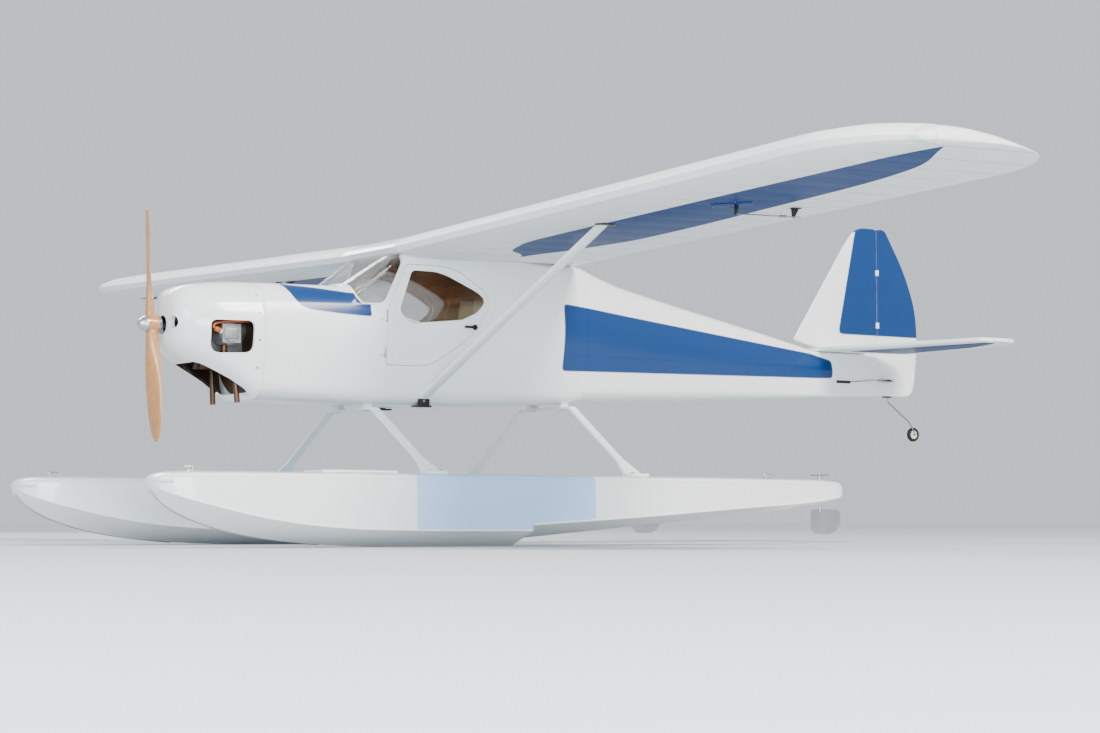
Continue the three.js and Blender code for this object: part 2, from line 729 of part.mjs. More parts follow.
function makeTail(rearBody) {
  const plane = [
    ...STABILISER_OUTLINE,
    ...STABILISER_OUTLINE.slice(1, -1).reverse().map(([station, y, r]) => [station, -y, r]),
  ].filter(([, y]) => y !== 0);
  const seat = TAIL_SEAT_Z + GAP + TAIL_THICKNESS / 2;
  addPiece("stabiliser", flatPlate(plane, seat, TAIL_THICKNESS, 2, 4), WHITE);
  const elevatorNose = rod(
    [at(ELEVATOR_HINGE_STATION), 22, seat],
    [at(ELEVATOR_HINGE_STATION), 398, seat],
    TAIL_THICKNESS / 2 - 0.2,
  );
  const elevator = flatPlate(ELEVATOR_OUTLINE, seat, TAIL_THICKNESS - 0.4, 2, 4).add(elevatorNose);
  addPair("elevator", elevator, WHITE);
  const joiner = rod(
    [at(ELEVATOR_HINGE_STATION), GAP - 22, seat],
    [at(ELEVATOR_HINGE_STATION), 22 - GAP, seat],
    2.5,
  );
  addPiece("elevator_joiner", joiner, STEEL);
  const post = block(
    [at(RUDDER_HINGE_STATION - 5.8), -5, TAIL_SEAT_Z + GAP],
    [at(1600), 5, TAIL_SEAT_Z + 12],
  );
  const fin = sidePlate(FIN_OUTLINE, 10, 2.5, 5).add(post).subtract(rearBody);
  addPiece("fin", fin, WHITE);
  const rudderNose = rod(
    [at(RUDDER_HINGE_STATION), 0, 305],
    [at(RUDDER_HINGE_STATION), 0, 650],
    5,
  );
  addPiece("rudder", sidePlate(RUDDER_OUTLINE, 10, 2.5, 6).add(rudderNose), BLUE);
}

function makeTailWheel() {
  const axleX = at(TAIL_WHEEL_STATION);
  const leg = wire(
    [
      [at(1664), 0, 303 - GAP],
      [at(1664), 0, 292],
      [at(1716), 8, 250],
      [axleX, 8, TAIL_WHEEL_Z],
      [axleX, -6, TAIL_WHEEL_Z],
    ],
    WIRE_RADIUS,
  );
  addPiece("tail_wheel_leg", leg, STEEL);
  const half = TAIL_WHEEL_WIDTH / 2;
  const bore = WIRE_RADIUS + GAP;
  const tread = TAIL_WHEEL_RADIUS;
  const profile = [
    [bore, -half],
    [tread - 4, -half],
    [tread, -half + 2.5],
    [tread, half - 2.5],
    [tread - 4, half],
    [bore, half],
    [bore, -half],
  ].map(([r, h]) => new THREE.Vector2(r, h));
  addPiece(
    "tail_wheel",
    moved(new THREE.LatheGeometry(profile, 32), axleX, 0, TAIL_WHEEL_Z),
    BLACK_RUBBER,
  );
}

// Float sections ahead of the step and behind it: distance from the bow, half width at deck and
// chine, z of keel, chine and deck
const FOREBODY_SECTIONS = [
  [0, 14, 12, 98, 101, 108],
  [8, 29, 27, 84, 93, 115],
  [30, 43, 42, 65, 83, 119],
  [90, 57, 57, 38, 66, 120],
  [190, 64, 65, 15, 45, 120],
  [310, 66, 68, 4, 32, 120],
  [440, 67, 69, 0, 28, 120],
  [STEP_FROM_BOW, 67, 69, 0, 27, 120],
];
const AFTERBODY_SECTIONS = [
  [STEP_FROM_BOW + 0.5, 67, 68, 12, 37, 120],
  [900, 62, 63, 31, 50, 120],
  [1130, 52, 53, 51, 66, 120],
  [1330, 38, 38, 70, 80, 119],
  [1394, 27, 26, 82, 88, 116],
  [FLOAT_LENGTH, 11, 9, 95, 98, 108],
];
const FLOAT_SECTIONS = [...eased(FOREBODY_SECTIONS, 3), ...eased(AFTERBODY_SECTIONS, 3)];

function floatRing([fromBow, deckY, chineY, keelZ, chineZ, deckZ]) {
  const edge = Math.min(10, deckY * 0.5, (deckZ - chineZ) * 0.4);
  const crown = deckZ + DECK_CROWN * Math.min(1, deckY / 60);
  const half = [
    [0, crown],
    [(deckY - edge) * 0.55, deckZ + (crown - deckZ) * 0.7],
    [deckY - edge, deckZ],
    [deckY - edge * 0.5, deckZ - edge * 0.14],
    [deckY - edge * 0.14, deckZ - edge * 0.5],
    [deckY, deckZ - edge],
    [chineY, chineZ],
    [chineY * 0.94, chineZ - (chineZ - keelZ) * 0.1],
    [chineY * 0.5, keelZ + (chineZ - keelZ) * 0.48],
    [0, keelZ],
  ];
  const starboard = half.slice(1, -1).reverse().map(([y, z]) => [-y, z]);
  return [...half, ...starboard].map(
    ([y, z]) => new THREE.Vector3(at(FLOAT_BOW_STATION + fromBow), y, z),
  );
}

function makeFloats() {
  const hull = loft(FLOAT_SECTIONS.map(floatRing));
  const bore = rod(
    [at(WATER_RUDDER_STATION), 0, 40],
    [at(WATER_RUDDER_STATION), 0, 160],
    WATER_RUDDER_BORE,
    20,
  );
  const centred = geometryOf(hull.subtract(bore));
  const float = moved(centred, 0, FLOAT_TRACK_HALF, 0);
  addPair("float", float, WHITE);
  const hatchTop = DECK_Z + DECK_CROWN + 3;
  const hatch = block(
    [at(FLOAT_BOW_STATION + HATCH_FROM_BOW[1]), FLOAT_TRACK_HALF - 34, DECK_Z - 5],
    [at(FLOAT_BOW_STATION + HATCH_FROM_BOW[0]), FLOAT_TRACK_HALF + 34, hatchTop],
  );
  const seat = moved(geometryOf(float), 0, 0, GAP);
  addPair("float_hatch", hatch.subtract(seat), WHITE);
  return float;
}

// Blade outline of a water rudder: station, z, corner radius
const WATER_BLADE_OUTLINE = [
  [1214, 65, 8],
  [1284, 65, 12],
  [1286, 32, 18],
  [1262, 18, 14],
  [1216, 20, 14],
];

function makeWaterRudders() {
  const post = rod(
    [at(WATER_RUDDER_STATION), 0, 60],
    [at(WATER_RUDDER_STATION), 0, 134],
    WATER_RUDDER_POST,
    14,
  );
  const tiller = block(
    [at(WATER_RUDDER_STATION) - 3.5, -24, 128],
    [at(WATER_RUDDER_STATION) + 3.5, 24, 130.5],
  );
  const blade = sidePlate(WATER_BLADE_OUTLINE, 3, 0.6, 4).add(post).add(tiller);
  addPair("water_rudder", moved(geometryOf(blade), 0, FLOAT_TRACK_HALF, 0), ALLOY);
}

function bellyZ(station) {
  return 250 + Math.max(0, station - 560) * (13 / 255);
}

// Flat strip between two points, its width fore and aft
function strip(from, to, width, thickness, endWidth = width) {
  const start = new THREE.Vector3(...from);
  const end = new THREE.Vector3(...to);
  const axis = end.clone().sub(start).normalize();
  const normal = new THREE.Vector3().crossVectors(axis, new THREE.Vector3(1, 0, 0));
  const ring = (centre, wide) =>
    [[1, 1], [1, -1], [-1, -1], [-1, 1]].map(([a, b]) =>
      centre
        .clone()
        .add(new THREE.Vector3((a * wide) / 2, 0, 0))
        .addScaledVector(normal, (b * thickness) / 2),
    );
  return loft([ring(start, width), ring(end, endWidth)]);
}

function makeUndercarriage(float, body) {
  LEG_STATIONS.forEach((station, i) => {
    const place = ["front", "rear"][i];
    const x = at(station);
    const barTop = bellyZ(station) - BELLY_CLEARANCE;
    const barMiddle = barTop - LEG_THICKNESS / 2;
    const footZ = DECK_Z + DECK_CROWN + LEG_THICKNESS / 2 + 1;
    let bar = block(
      [x - LEG_WIDTH / 2, -BELLY_HALF, barTop - LEG_THICKNESS],
      [x + LEG_WIDTH / 2, BELLY_HALF, barTop],
    );
    for (const side of [-1, 1]) {
      bar = bar.add(
        block(
          [x - LEG_WIDTH / 2, side * 50 - 9, barTop - 1],
          [x + LEG_WIDTH / 2, side * 50 + 9, barTop + BELLY_CLEARANCE + 6],
        ),
      );
    }
    addPiece(`belly_bar_${place}`, bar.subtract(body), WHITE);
    const top = [x, BELLY_HALF + 1.5, barMiddle];
    const knee = [x, FLOAT_TRACK_HALF - 14, footZ + 2];
    const toe = [x, FLOAT_TRACK_HALF + 14, footZ - 1];
    const start = block(
      [x - LEG_WIDTH / 2, BELLY_HALF + GAP, barTop - LEG_THICKNESS],
      [x + LEG_WIDTH / 2, BELLY_HALF + 3, barTop],
    );
    const ankle = [0, 1, 2].map((k) => knee[k] + (top[k] - knee[k]) * 0.2);
    const foot = [x, FLOAT_TRACK_HALF - 15, footZ + 1];
    const leg = start
      .add(strip(top, ankle, LEG_WIDTH, LEG_THICKNESS))
      .add(strip(ankle, knee, LEG_WIDTH, LEG_THICKNESS, LEG_FOOT_WIDTH))
      .add(strip(foot, toe, LEG_FOOT_WIDTH, LEG_THICKNESS + 1));
    addPair(`leg_${place}`, leg.subtract(moved(geometryOf(float), 0, 0, GAP)), WHITE);
    const beam = FLOAT_TRACK_HALF - 40;
    const spreader = rod([x, -beam, DECK_Z - 18], [x, beam, DECK_Z - 18], SPREADER_RADIUS, 16);
    const grownFloat = moved(geometryOf(float), 0, -GAP, 0);
    addPiece(`spreader_${place}`, spreader.subtract(grownFloat).subtract(mirrored(grownFloat)), ALLOY);
  });
}

const roofRoom = makeRoof();
const panel = makeWings();
makeCowl();
makeEngine();
makePropeller();
const body = lowered(makeBody(roofRoom));
makeInterior();
makeUndercarriage(makeFloats(), body);
makeStruts(lowered(inWingPlace(panel)), body);
makeTail(moved(geometryOf(bodyLoft(REAR_SECTIONS)), 0, 0, GAP));
makeTailWheel();
makeWaterRudders();

export default floatplane;
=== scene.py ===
# Finished model of a radio-controlled floatplane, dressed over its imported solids.
# Metres. +X points forward to the nose, +Y to port, +Z up. A station is a distance aft of the propeller.
import math

import bmesh
import bpy
from mathutils import Matrix, Vector
from mathutils.bvhtree import BVHTree


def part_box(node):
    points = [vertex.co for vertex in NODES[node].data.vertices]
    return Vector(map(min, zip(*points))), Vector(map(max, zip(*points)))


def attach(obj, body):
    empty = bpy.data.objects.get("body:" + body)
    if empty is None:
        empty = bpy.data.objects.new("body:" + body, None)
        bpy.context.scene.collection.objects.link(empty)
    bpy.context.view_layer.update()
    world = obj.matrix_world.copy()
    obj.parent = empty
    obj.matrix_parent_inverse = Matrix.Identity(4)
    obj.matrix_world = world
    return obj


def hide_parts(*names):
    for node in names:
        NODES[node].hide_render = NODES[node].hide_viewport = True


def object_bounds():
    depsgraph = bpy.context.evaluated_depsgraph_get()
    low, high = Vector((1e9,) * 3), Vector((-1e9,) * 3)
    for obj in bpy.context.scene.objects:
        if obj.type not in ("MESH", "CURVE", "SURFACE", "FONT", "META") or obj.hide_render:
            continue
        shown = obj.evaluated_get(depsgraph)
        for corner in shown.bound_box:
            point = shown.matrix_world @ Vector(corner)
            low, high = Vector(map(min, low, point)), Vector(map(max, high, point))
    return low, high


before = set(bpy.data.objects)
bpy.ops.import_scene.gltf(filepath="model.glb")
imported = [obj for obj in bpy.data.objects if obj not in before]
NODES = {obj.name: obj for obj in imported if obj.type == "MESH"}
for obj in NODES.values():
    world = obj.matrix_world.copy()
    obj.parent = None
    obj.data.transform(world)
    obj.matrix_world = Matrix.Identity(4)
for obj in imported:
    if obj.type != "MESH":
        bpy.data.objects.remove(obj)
CAD_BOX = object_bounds()

NOSE_X = 0.8095
THRUST_HEIGHT = 0.378
FLOAT_TRACK = 0.2875  # from the middle of the plane to each keel
FLOAT_BOW = -0.130  # station of the floats' bows, ahead of the propeller
WING_LEADING = 0.42
WING_CHORD = 0.4
RIB_SPACING = 0.0735
SIDES = (("left", 1), ("right", -1))
UP, DOWN = (0, 0, 1), (0, 0, -1)
AHEAD, AFT = (1, 0, 0), (-1, 0, 0)
PORTWARD = (0, 1, 0)
ORIGIN = (0, 0, 0)


def at(station):
    """The X of a station."""
    return NOSE_X - station


def mm(rows):
    """Rows of millimetres, in metres."""
    return [tuple(number / 1000 for number in row) for row in rows]


def on_float(run):
    """The X of a distance aft of the floats' bows."""
    return at(FLOAT_BOW + run)


# Choosing and editing pieces

def clear_choice():
    if bpy.context.mode != "OBJECT":
        bpy.ops.object.mode_set(mode="OBJECT")
    bpy.ops.object.select_all(action="DESELECT")


def choose(*pieces):
    clear_choice()
    for piece in pieces:
        piece.select_set(True)
    bpy.context.view_layer.objects.active = pieces[0]


def settle(piece):
    """Moves the piece's place, turn and size into its mesh."""
    choose(piece)
    bpy.ops.object.transform_apply(location=True, rotation=True, scale=True)
    return piece


def edit(piece):
    choose(piece)
    bpy.ops.object.mode_set(mode="EDIT")
    bpy.ops.mesh.select_all(action="SELECT")


def done_editing():
    bpy.ops.object.mode_set(mode="OBJECT")


def modify(piece, kind, **settings):
    """Adds a modifier and applies it."""
    choose(piece)
    modifier = piece.modifiers.new(kind.title(), kind)
    for name, value in settings.items():
        setattr(modifier, name, value)
    bpy.ops.object.modifier_apply(modifier=modifier.name)
    return piece


def soften(piece, width, segments=2, angle=30):
    """Rounds the edges that are sharper than the angle."""
    return modify(
        piece, "BEVEL", width=width, segments=segments, limit_method="ANGLE", angle_limit=math.radians(angle)
    )


def finish(piece, name, look, body="airframe", angle=35):
    """Names the piece, gives it its finish, and lets it ride its body."""
    settle(piece)
    piece.name = name
    piece.data.name = name
    piece.data.materials.clear()
    piece.data.materials.append(look)
    choose(piece)
    bpy.ops.object.shade_smooth_by_angle(angle=math.radians(angle))
    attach(piece, body)
    return piece


def joined(*pieces):
    choose(*pieces)
    if len(pieces) > 1:
        bpy.ops.object.join()
    return pieces[0]


def linked(name, data):
    """A new object in the scene around a mesh, a curve, a lamp or a camera."""
    made = bpy.data.objects.new(name, data)
    bpy.context.scene.collection.objects.link(made)
    return made


# Basic forms

def standing(place, way):
    """Lays a form made about the origin at a place, its +Z along a way."""
    return Matrix.Translation(Vector(place)) @ Vector(way).to_track_quat("Z", "Y").to_matrix().to_4x4()


def block(middle, half, rounding=0.0, segments=2):
    """A box about its middle, given half its length, width and height."""
    bpy.ops.mesh.primitive_cube_add(location=middle, scale=half)
    piece = settle(bpy.context.object)
    return soften(piece, rounding, segments) if rounding else piece


def rod(start, end, radius, sides=24, rounding=0.0):
    start, end = Vector(start), Vector(end)
    bpy.ops.mesh.primitive_cylinder_add(vertices=sides, radius=radius, depth=(end - start).length)
    piece = bpy.context.object
    piece.data.transform(standing((start + end) / 2, end - start))
    return soften(piece, rounding, 2, 50) if rounding else piece


def turned(profile, start, direction, sides=32):
    """A profile of length and radius rows, turned about an axis that leaves the start point."""
    line = bpy.data.meshes.new("line")
    steps = [(i, i + 1) for i in range(len(profile) - 1)]
    line.from_pydata([(radius, 0, height) for height, radius in profile], steps, [])
    piece = linked("turned", line)
    edit(piece)
    bpy.ops.mesh.spin(steps=sides, angle=math.tau, center=ORIGIN, axis=UP)
    bpy.ops.mesh.select_all(action="SELECT")
    bpy.ops.mesh.remove_doubles(threshold=1e-6)
    bpy.ops.mesh.normals_make_consistent(inside=False)
    done_editing()
    piece.data.transform(standing(start, direction))
    return piece


def both_ways(half, middle=()):
    """A closed profile that is the same on both sides of its middle."""
    return [*half, *middle, *((-height, radius) for height, radius in reversed(half)), half[0]]


def ring(inner, outer, thickness):
    return both_ways([(-thickness / 2, inner), (-thickness / 2, outer)])


def cut_sheet(points, depth, rounding):
    """A flat outline of points in space, made a plate by pushing it along depth."""
    sheet = bpy.data.meshes.new("sheet")
    sheet.from_pydata(points, [], [range(len(points))])
    piece = linked("sheet", sheet)
    edit(piece)
    bpy.ops.mesh.extrude_region_move(TRANSFORM_OT_translate={"value": Vector(depth)})
    bpy.ops.mesh.select_all(action="SELECT")
    bpy.ops.mesh.normals_make_consistent(inside=False)
    done_editing()
    return soften(piece, rounding, 2, 50)


def wire(points, radius, smooth=True, closed=False):
    """A round wire or edging through points, or a closed ring of it."""
    curve = bpy.data.curves.new("wire", "CURVE")
    curve.dimensions = "3D"
    curve.bevel_depth = radius
    curve.bevel_resolution = 2 if closed else 3
    curve.use_fill_caps = not closed
    curve.resolution_u = 6
    spline = curve.splines.new("BEZIER" if smooth else "POLY")
    if smooth:
        spline.bezier_points.add(len(points) - 1)
        for bend, point in zip(spline.bezier_points, points):
            bend.co = point
            bend.handle_left_type = bend.handle_right_type = "AUTO"
    else:
        spline.points.add(len(points) - 1)
        for bend, point in zip(spline.points, points):
            bend.co = (*point, 1)
        spline.use_cyclic_u = closed
    choose(linked("wire", curve))
    bpy.ops.object.convert(target="MESH")
    return bpy.context.object


# Skins of the solids, to set small parts on them

def solids(names):
    """The solids of a line of names. A name that ends with _ stands for the left one and the right one."""
    for name in names.split():
        for end in ("left", "right") if name.endswith("_") else ("",):
            yield NODES[name + end]


def skin_of(names):
    verts, faces = [], []
    for node in solids(names):
        start = len(verts)
        verts.extend(v.co.copy() for v in node.data.vertices)
        faces.extend([start + i for i in face.vertices] for face in node.data.polygons)
    return BVHTree.FromPolygons(verts, faces)


BODY_SKIN = skin_of("cowl fuselage_front fuselage_rear door_ door_glass_ windscreen")
WING_SKIN = skin_of("wing_ aileron_ cabin_roof")
FLOAT_SKIN = skin_of("float_")


def hit(skin, origin, direction):
    """The spot where a line meets a skin: its place and outward normal."""
    return skin.ray_cast(Vector(origin), Vector(direction))[:2]


def on_side(station, z, side):
    return hit(BODY_SKIN, (at(station), side * 0.5, z), (0, -side, 0))


def on_top(station, y):
    return hit(BODY_SKIN, (at(station), y, 0.7), DOWN)


def under_wing(station, y):
    return hit(WING_SKIN, (at(station), y, 0.3), UP)


def over_wing(station, y):
    return hit(WING_SKIN, (at(station), y, 0.9), DOWN)


def raised(spots, height):
    """Spots of place and outward normal, moved outwards."""
    return [(place + normal * height, normal) for place, normal in spots]


# Patterns: a number that changes over a surface, written as a sum

def sum_of(operation):
    """One kind of sum as a method of Field."""
    return lambda field, *others: field.math(operation, *others)


class Field:
    def __init__(self, tree, socket):
        self.tree, self.socket = tree, socket

    def math(self, operation, *others):
        terms = dict(enumerate((self, *others)))
        return Field(self.tree, add_node(self.tree, "Math", terms, operation=operation)[0])

    __add__ = __radd__ = sum_of("ADD")
    __mul__ = __rmul__ = sum_of("MULTIPLY")
    __sub__, size, most = sum_of("SUBTRACT"), sum_of("ABSOLUTE"), sum_of("MAXIMUM")

    def __rsub__(self, other):
        return (self * -1) + other

    def least(self, *others, soft=0.0):
        found = self
        for other in others:
            found = found.math("SMOOTH_MIN", other, soft) if soft else found.math("MINIMUM", other)
        return found

    def wave(self, spacing):
        """Runs from 0 to 1 and back to 0 once each spacing."""
        return (self * (1 / spacing)).math("FRACT").math("PINGPONG", 0.5) * 2

    def over(self, foot, steepness):
        """0 up to the foot, then rising."""
        return ((self - foot) * steepness).most(0)

    def edge(self, width):
        """1 where the number is above 0, 0 below, with an edge of that width."""
        terms = {"Value": self, "From Min": -width / 2, "From Max": width / 2}
        return Field(self.tree, add_node(self.tree, "MapRange", terms, interpolation_type="SMOOTHSTEP")[0])

    def line(self, rows, bends="VECTOR"):
        """A bent line read off at this number: rows of where and how high. AUTO_CLAMPED bends are round."""
        node = self.tree.nodes.new("ShaderNodeFloatCurve")
        low, high = rows[0][0], rows[-1][0]
        curve = node.mapping.curves[0]
        while len(curve.points) < len(rows):
            curve.points.new(0.5, 0.5)
        for point, (where, height) in zip(curve.points, rows):
            point.location = ((where - low) / (high - low), height)
            point.handle_type = bends
        node.mapping.update()
        feed(self.tree, node.inputs, {"Value": (self - low) * (1 / (high - low))})
        return Field(self.tree, node.outputs[0])


def colour(code):
    """A web colour as the linear numbers that shaders use."""
    parts = [int(code[i:i + 2], 16) / 255 for i in (1, 3, 5)]
    return (*(p / 12.92 if p <= 0.04045 else ((p + 0.055) / 1.055) ** 2.4 for p in parts), 1.0)


def feed(tree, sockets, values):
    """Gives shader sockets their values: fields, other sockets, colour codes or numbers."""
    for key, value in values.items():
        if isinstance(value, Field):
            value = value.socket
        if isinstance(value, bpy.types.NodeSocket):
            tree.links.new(value, sockets[key])
        else:
            sockets[key].default_value = colour(value) if isinstance(value, str) else value


def add_node(tree, kind, values, **settings):
    """A shader node with its settings and the values of its inputs. Gives its outputs."""
    made = tree.nodes.new("ShaderNode" + kind)
    for key, value in settings.items():
        setattr(made, key, value)
    feed(tree, made.inputs, values)
    return made.outputs


def places(tree, stretch=(1, 1, 1)):
    """Object coordinates, stretched: the vector socket, and its three numbers."""
    start = add_node(tree, "TexCoord", {})["Object"]
    vector = add_node(tree, "Mapping", {"Vector": start, "Scale": stretch})[0]
    return vector, [Field(tree, part) for part in add_node(tree, "SeparateXYZ", {0: vector})]


def noise(tree, vector, scale, detail, roughness=0.55):
    values = {"Vector": vector, "Scale": scale, "Detail": detail, "Roughness": roughness}
    return Field(tree, add_node(tree, "TexNoise", values)[0])


def blended(tree, amount, one, other, mode="MIX"):
    """Two colours mixed by an amount from 0 to 1."""
    return add_node(tree, "Mix", {0: amount, 6: one, 7: other}, data_type="RGBA", blend_type=mode)[2]


SOCKET_KINDS = {str: "NodeSocketColor", float: "NodeSocketFloat", tuple: "NodeSocketVector"}
SURFACE = {"Colour": "NodeSocketColor", "Roughness": "NodeSocketFloat", "Height": "NodeSocketFloat"}


def effect(name, build, **inputs):
    """A shader node group with named sockets, shared by several finishes. build gives its SURFACE."""
    group = bpy.data.node_groups.new(name, "ShaderNodeTree")
    for key, value in inputs.items():
        socket = group.interface.new_socket(name=key, in_out="INPUT", socket_type=SOCKET_KINDS[type(value)])
        socket.default_value = colour(value) if isinstance(value, str) else value
    for key, kind in SURFACE.items():
        group.interface.new_socket(name=key, in_out="OUTPUT", socket_type=kind)
    entry = group.nodes.new("NodeGroupInput").outputs
    leaving = group.nodes.new("NodeGroupOutput")
    feed(group, leaving.inputs, build(group, {key: Field(group, entry[key]) for key in inputs}))
    return group


def covering_effect(tree, given):
    """Heat-shrunk film or paint in two colours: slight waves, faded patches, painted shade along the frame
    where its mask is set, and a step where colours meet.
    """
    vector, _ = places(tree)
    slow = noise(tree, vector, 2.2, 2)
    waves = noise(tree, vector, 34, 2)
    grit = noise(tree, vector, 420, 2)
    base = blended(tree, given["Panel"], given["Base"], given["Trim"])
    faded = blended(tree, slow * 0.5, base, given["Faded"], "MULTIPLY")
    # Painted shade: the frame's mask darkens the colour towards the Shadow colour, as if ribs and spar shaded
    # the film.
    frame_shaded = blended(tree, given["Frame"] * 0.5, faded, given["Shadow"], "MULTIPLY")
    return {
        "Colour": blended(tree, grit.over(0.63, 1.4) * given["Soil"], frame_shaded, "#8b8a7c"),
        "Roughness": slow * 0.1 + given["Gloss"] + waves * 0.05,
        "Height": waves * 0.1 + given["Panel"] * 0.09 + given["Relief"],
    }


def metal_effect(tree, given):
    """Drawn or machined metal: fine streaks along one way, cloudy tarnish."""
    streaks = noise(tree, places(tree, (60, 900, 900))[0], 1.0, 2)
    cloud = noise(tree, places(tree)[0], 26, 4)
    dull = blended(tree, cloud.over(0.45, 1.6) * given["Tarnish"], given["Metal"], given["Dull"])
    return {
        "Colour": blended(tree, streaks * 0.25, dull, "#ffffff", "SOFT_LIGHT"),
        "Roughness": given["Gloss"] + cloud * 0.14 + streaks * 0.06,
        "Height": streaks * 0.02 + cloud * 0.02,
    }


def wood_effect(tree, given):
    """Long grain with darker rings."""
    vector, _ = places(tree)
    drift = noise(tree, vector, 9, 2)
    stretched = add_node(tree, "VectorMath", {0: vector, 1: given["Stretch"]}, operation="MULTIPLY")[0]
    grain = noise(tree, stretched, 1.0, 6, 0.65)
    rings = (grain * 7 + drift).math("FRACT").math("PINGPONG", 0.5) * 2
    tone = blended(tree, rings * 0.55 + drift * 0.3, given["Light"], given["Dark"])
    return {"Colour": tone, "Roughness": rings * 0.08 + given["Gloss"], "Height": rings * 0.03}


def moulded_effect(tree, given):
    """Rubber or moulded plastic: fine stipple, paler where it is handled."""
    vector, _ = places(tree)
    stipple = noise(tree, vector, 900, 2)
    rubbed = noise(tree, vector, 40, 3)
    tone = blended(tree, rubbed.over(0.5, 0.8), given["Tone"], given["Rubbed"])
    return {"Colour": tone, "Roughness": given["Gloss"] + rubbed * 0.15, "Height": stipple * given["Stipple"]}


def weave_effect(tree, given):
    """Woven cloth: crossing threads, mottled dye."""
    vector, (x, y, z) = places(tree)
    threads = (x + z * 0.8).wave(0.0011).most((y + z * 0.35).wave(0.0011))
    mottle = noise(tree, vector, 22, 3)
    tone = blended(tree, mottle * 0.45 + threads * 0.25, given["Shade"], given["Cloth"])
    return {"Colour": tone, "Roughness": 0.92 - threads * 0.1, "Height": threads * 0.18 + mottle * 0.2}


# Shadow is the colour of the painted shade along the wings' ribs and spar.
COVERING = effect(
    "covering", covering_effect, Base="#edf2f3", Trim="#03356e", Faded="#e6e8e2", Panel=0.0, Relief=0.0,
    Gloss=0.16, Soil=0.25, Frame=0.0, Shadow="#a3a9a8",
)
METAL = effect("worked metal", metal_effect, Metal="#b9bdc0", Dull="#6d6a66", Tarnish=0.5, Gloss=0.24)
WOOD = effect("wood", wood_effect, Light="#c79358", Dark="#8a5527", Stretch=(20.0, 220.0, 220.0), Gloss=0.3)
MOULDED = effect("moulded", moulded_effect, Tone="#1b1b1c", Rubbed="#4a4a4a", Gloss=0.45, Stipple=0.05)
WEAVE = effect("weave", weave_effect, Cloth="#e2d6b8", Shade="#b8a37a")


def new_finish(name):
    """A material with its nodes: its tree and the inputs of its shader."""
    made = bpy.data.materials.new(name)
    made.use_nodes = True
    return made, made.node_tree, made.node_tree.nodes["Principled BSDF"].inputs


def bumped(tree, height):
    """The normal of a height in millimetres."""
    return add_node(tree, "Bump", {"Distance": 0.001, "Height": height})[0]


def material(name, group, metallic=0.0, coat=0.0, shine=0.4, pattern=None, **values):
    """A finish made from one shared effect. pattern(tree) gives fields for the effect's inputs."""
    made, tree, shader = new_finish(name)
    look = tree.nodes.new("ShaderNodeGroup")
    look.node_tree = group
    feed(tree, look.inputs, {**values, **(pattern(tree) if pattern else {})})
    feed(tree, shader, {
        "Base Color": look.outputs["Colour"], "Roughness": look.outputs["Roughness"], "Metallic": metallic,
        "Normal": bumped(tree, look.outputs["Height"]), "Coat Weight": coat, "Coat Roughness": 0.08,
        "Specular IOR Level": shine,
    })
    return made


# Colour schemes on the coverings. Lines are rows of where and how high.

LENS_FRONT = [(0.0, 0.6), (0.16, 0.56), (0.25, 0.38), (0.40, 0.30), (1.24, 0.31), (1.33, 0.36), (1.4, 0.6)]
LENS_REAR = [
    (0.0, 0.5), (0.16, 0.56), (0.30, 0.68), (0.46, 0.745), (0.80, 0.70), (1.16, 0.60), (1.33, 0.40), (1.4, 0.3),
]
PANEL_START, PANEL_END = 0.785, 1.497
PANEL_TOP = [(0.7, 0.45), (0.785, 0.446), (1.1, 0.416), (1.44, 0.383), (1.5, 0.37), (1.7, 0.35)]
PANEL_FOOT = [(0.7, 0.321), (0.8, 0.321), (1.45, 0.333), (1.7, 0.342)]
FLASH_END = 0.372
FLASH_TOP = [(0.18, 0.456), (0.225, 0.4535), (0.3, 0.447), (0.38, 0.437), (0.45, 0.42)]
FLASH_FOOT = [(0.18, 0.49), (0.212, 0.454), (0.238, 0.416), (0.28, 0.407), (0.45, 0.400)]
# Painted shadow of the wing on the floats: where the pale blue band starts, ends, and how low it reaches.
WING_SHADOW_START, WING_SHADOW_END = 0.317, 0.677
WING_SHADOW_FOOT = [(0.3, 0.028), (0.43, 0.0272), (0.544, 0.027), (0.5475, 0.037), (0.66, 0.0435), (0.77, 0.05)]


def surface_places(tree):
    """Station, distance from the middle plane, and height."""
    _, (x, y, z) = places(tree)
    return NOSE_X - x, y.size(), z


def wing_scheme(tree):
    """A long blue lens under and over each wing, ribs under tight film with painted shade along the ribs and
    the spar, a smooth sheeted nose.
    """
    station, span, _ = surface_places(tree)
    chord = (station - WING_LEADING) * (1 / WING_CHORD)
    lens = (chord - span.line(LENS_FRONT, "AUTO_CLAMPED")).least(
        span.line(LENS_REAR, "AUTO_CLAMPED") - chord, soft=0.01
    )
    sag = (span - 0.0975).wave(RIB_SPACING)
    bay = (chord - 0.2).least(0.95 - chord)
    seam = (chord - 0.2).size() * -1 + 0.003
    # Painted shade: darker lines along each rib and along the spar.
    ribs = (0.1 - sag).edge(0.05)
    spar = (0.006 - (chord - 0.31).size()).edge(0.004)
    return {
        "Panel": lens.edge(0.004),
        "Relief": sag * sag * -0.5 * bay.edge(0.05) + seam.edge(0.002) * 0.12,
        "Frame": ribs.most(spar) * bay.edge(0.01) * 0.55,
    }


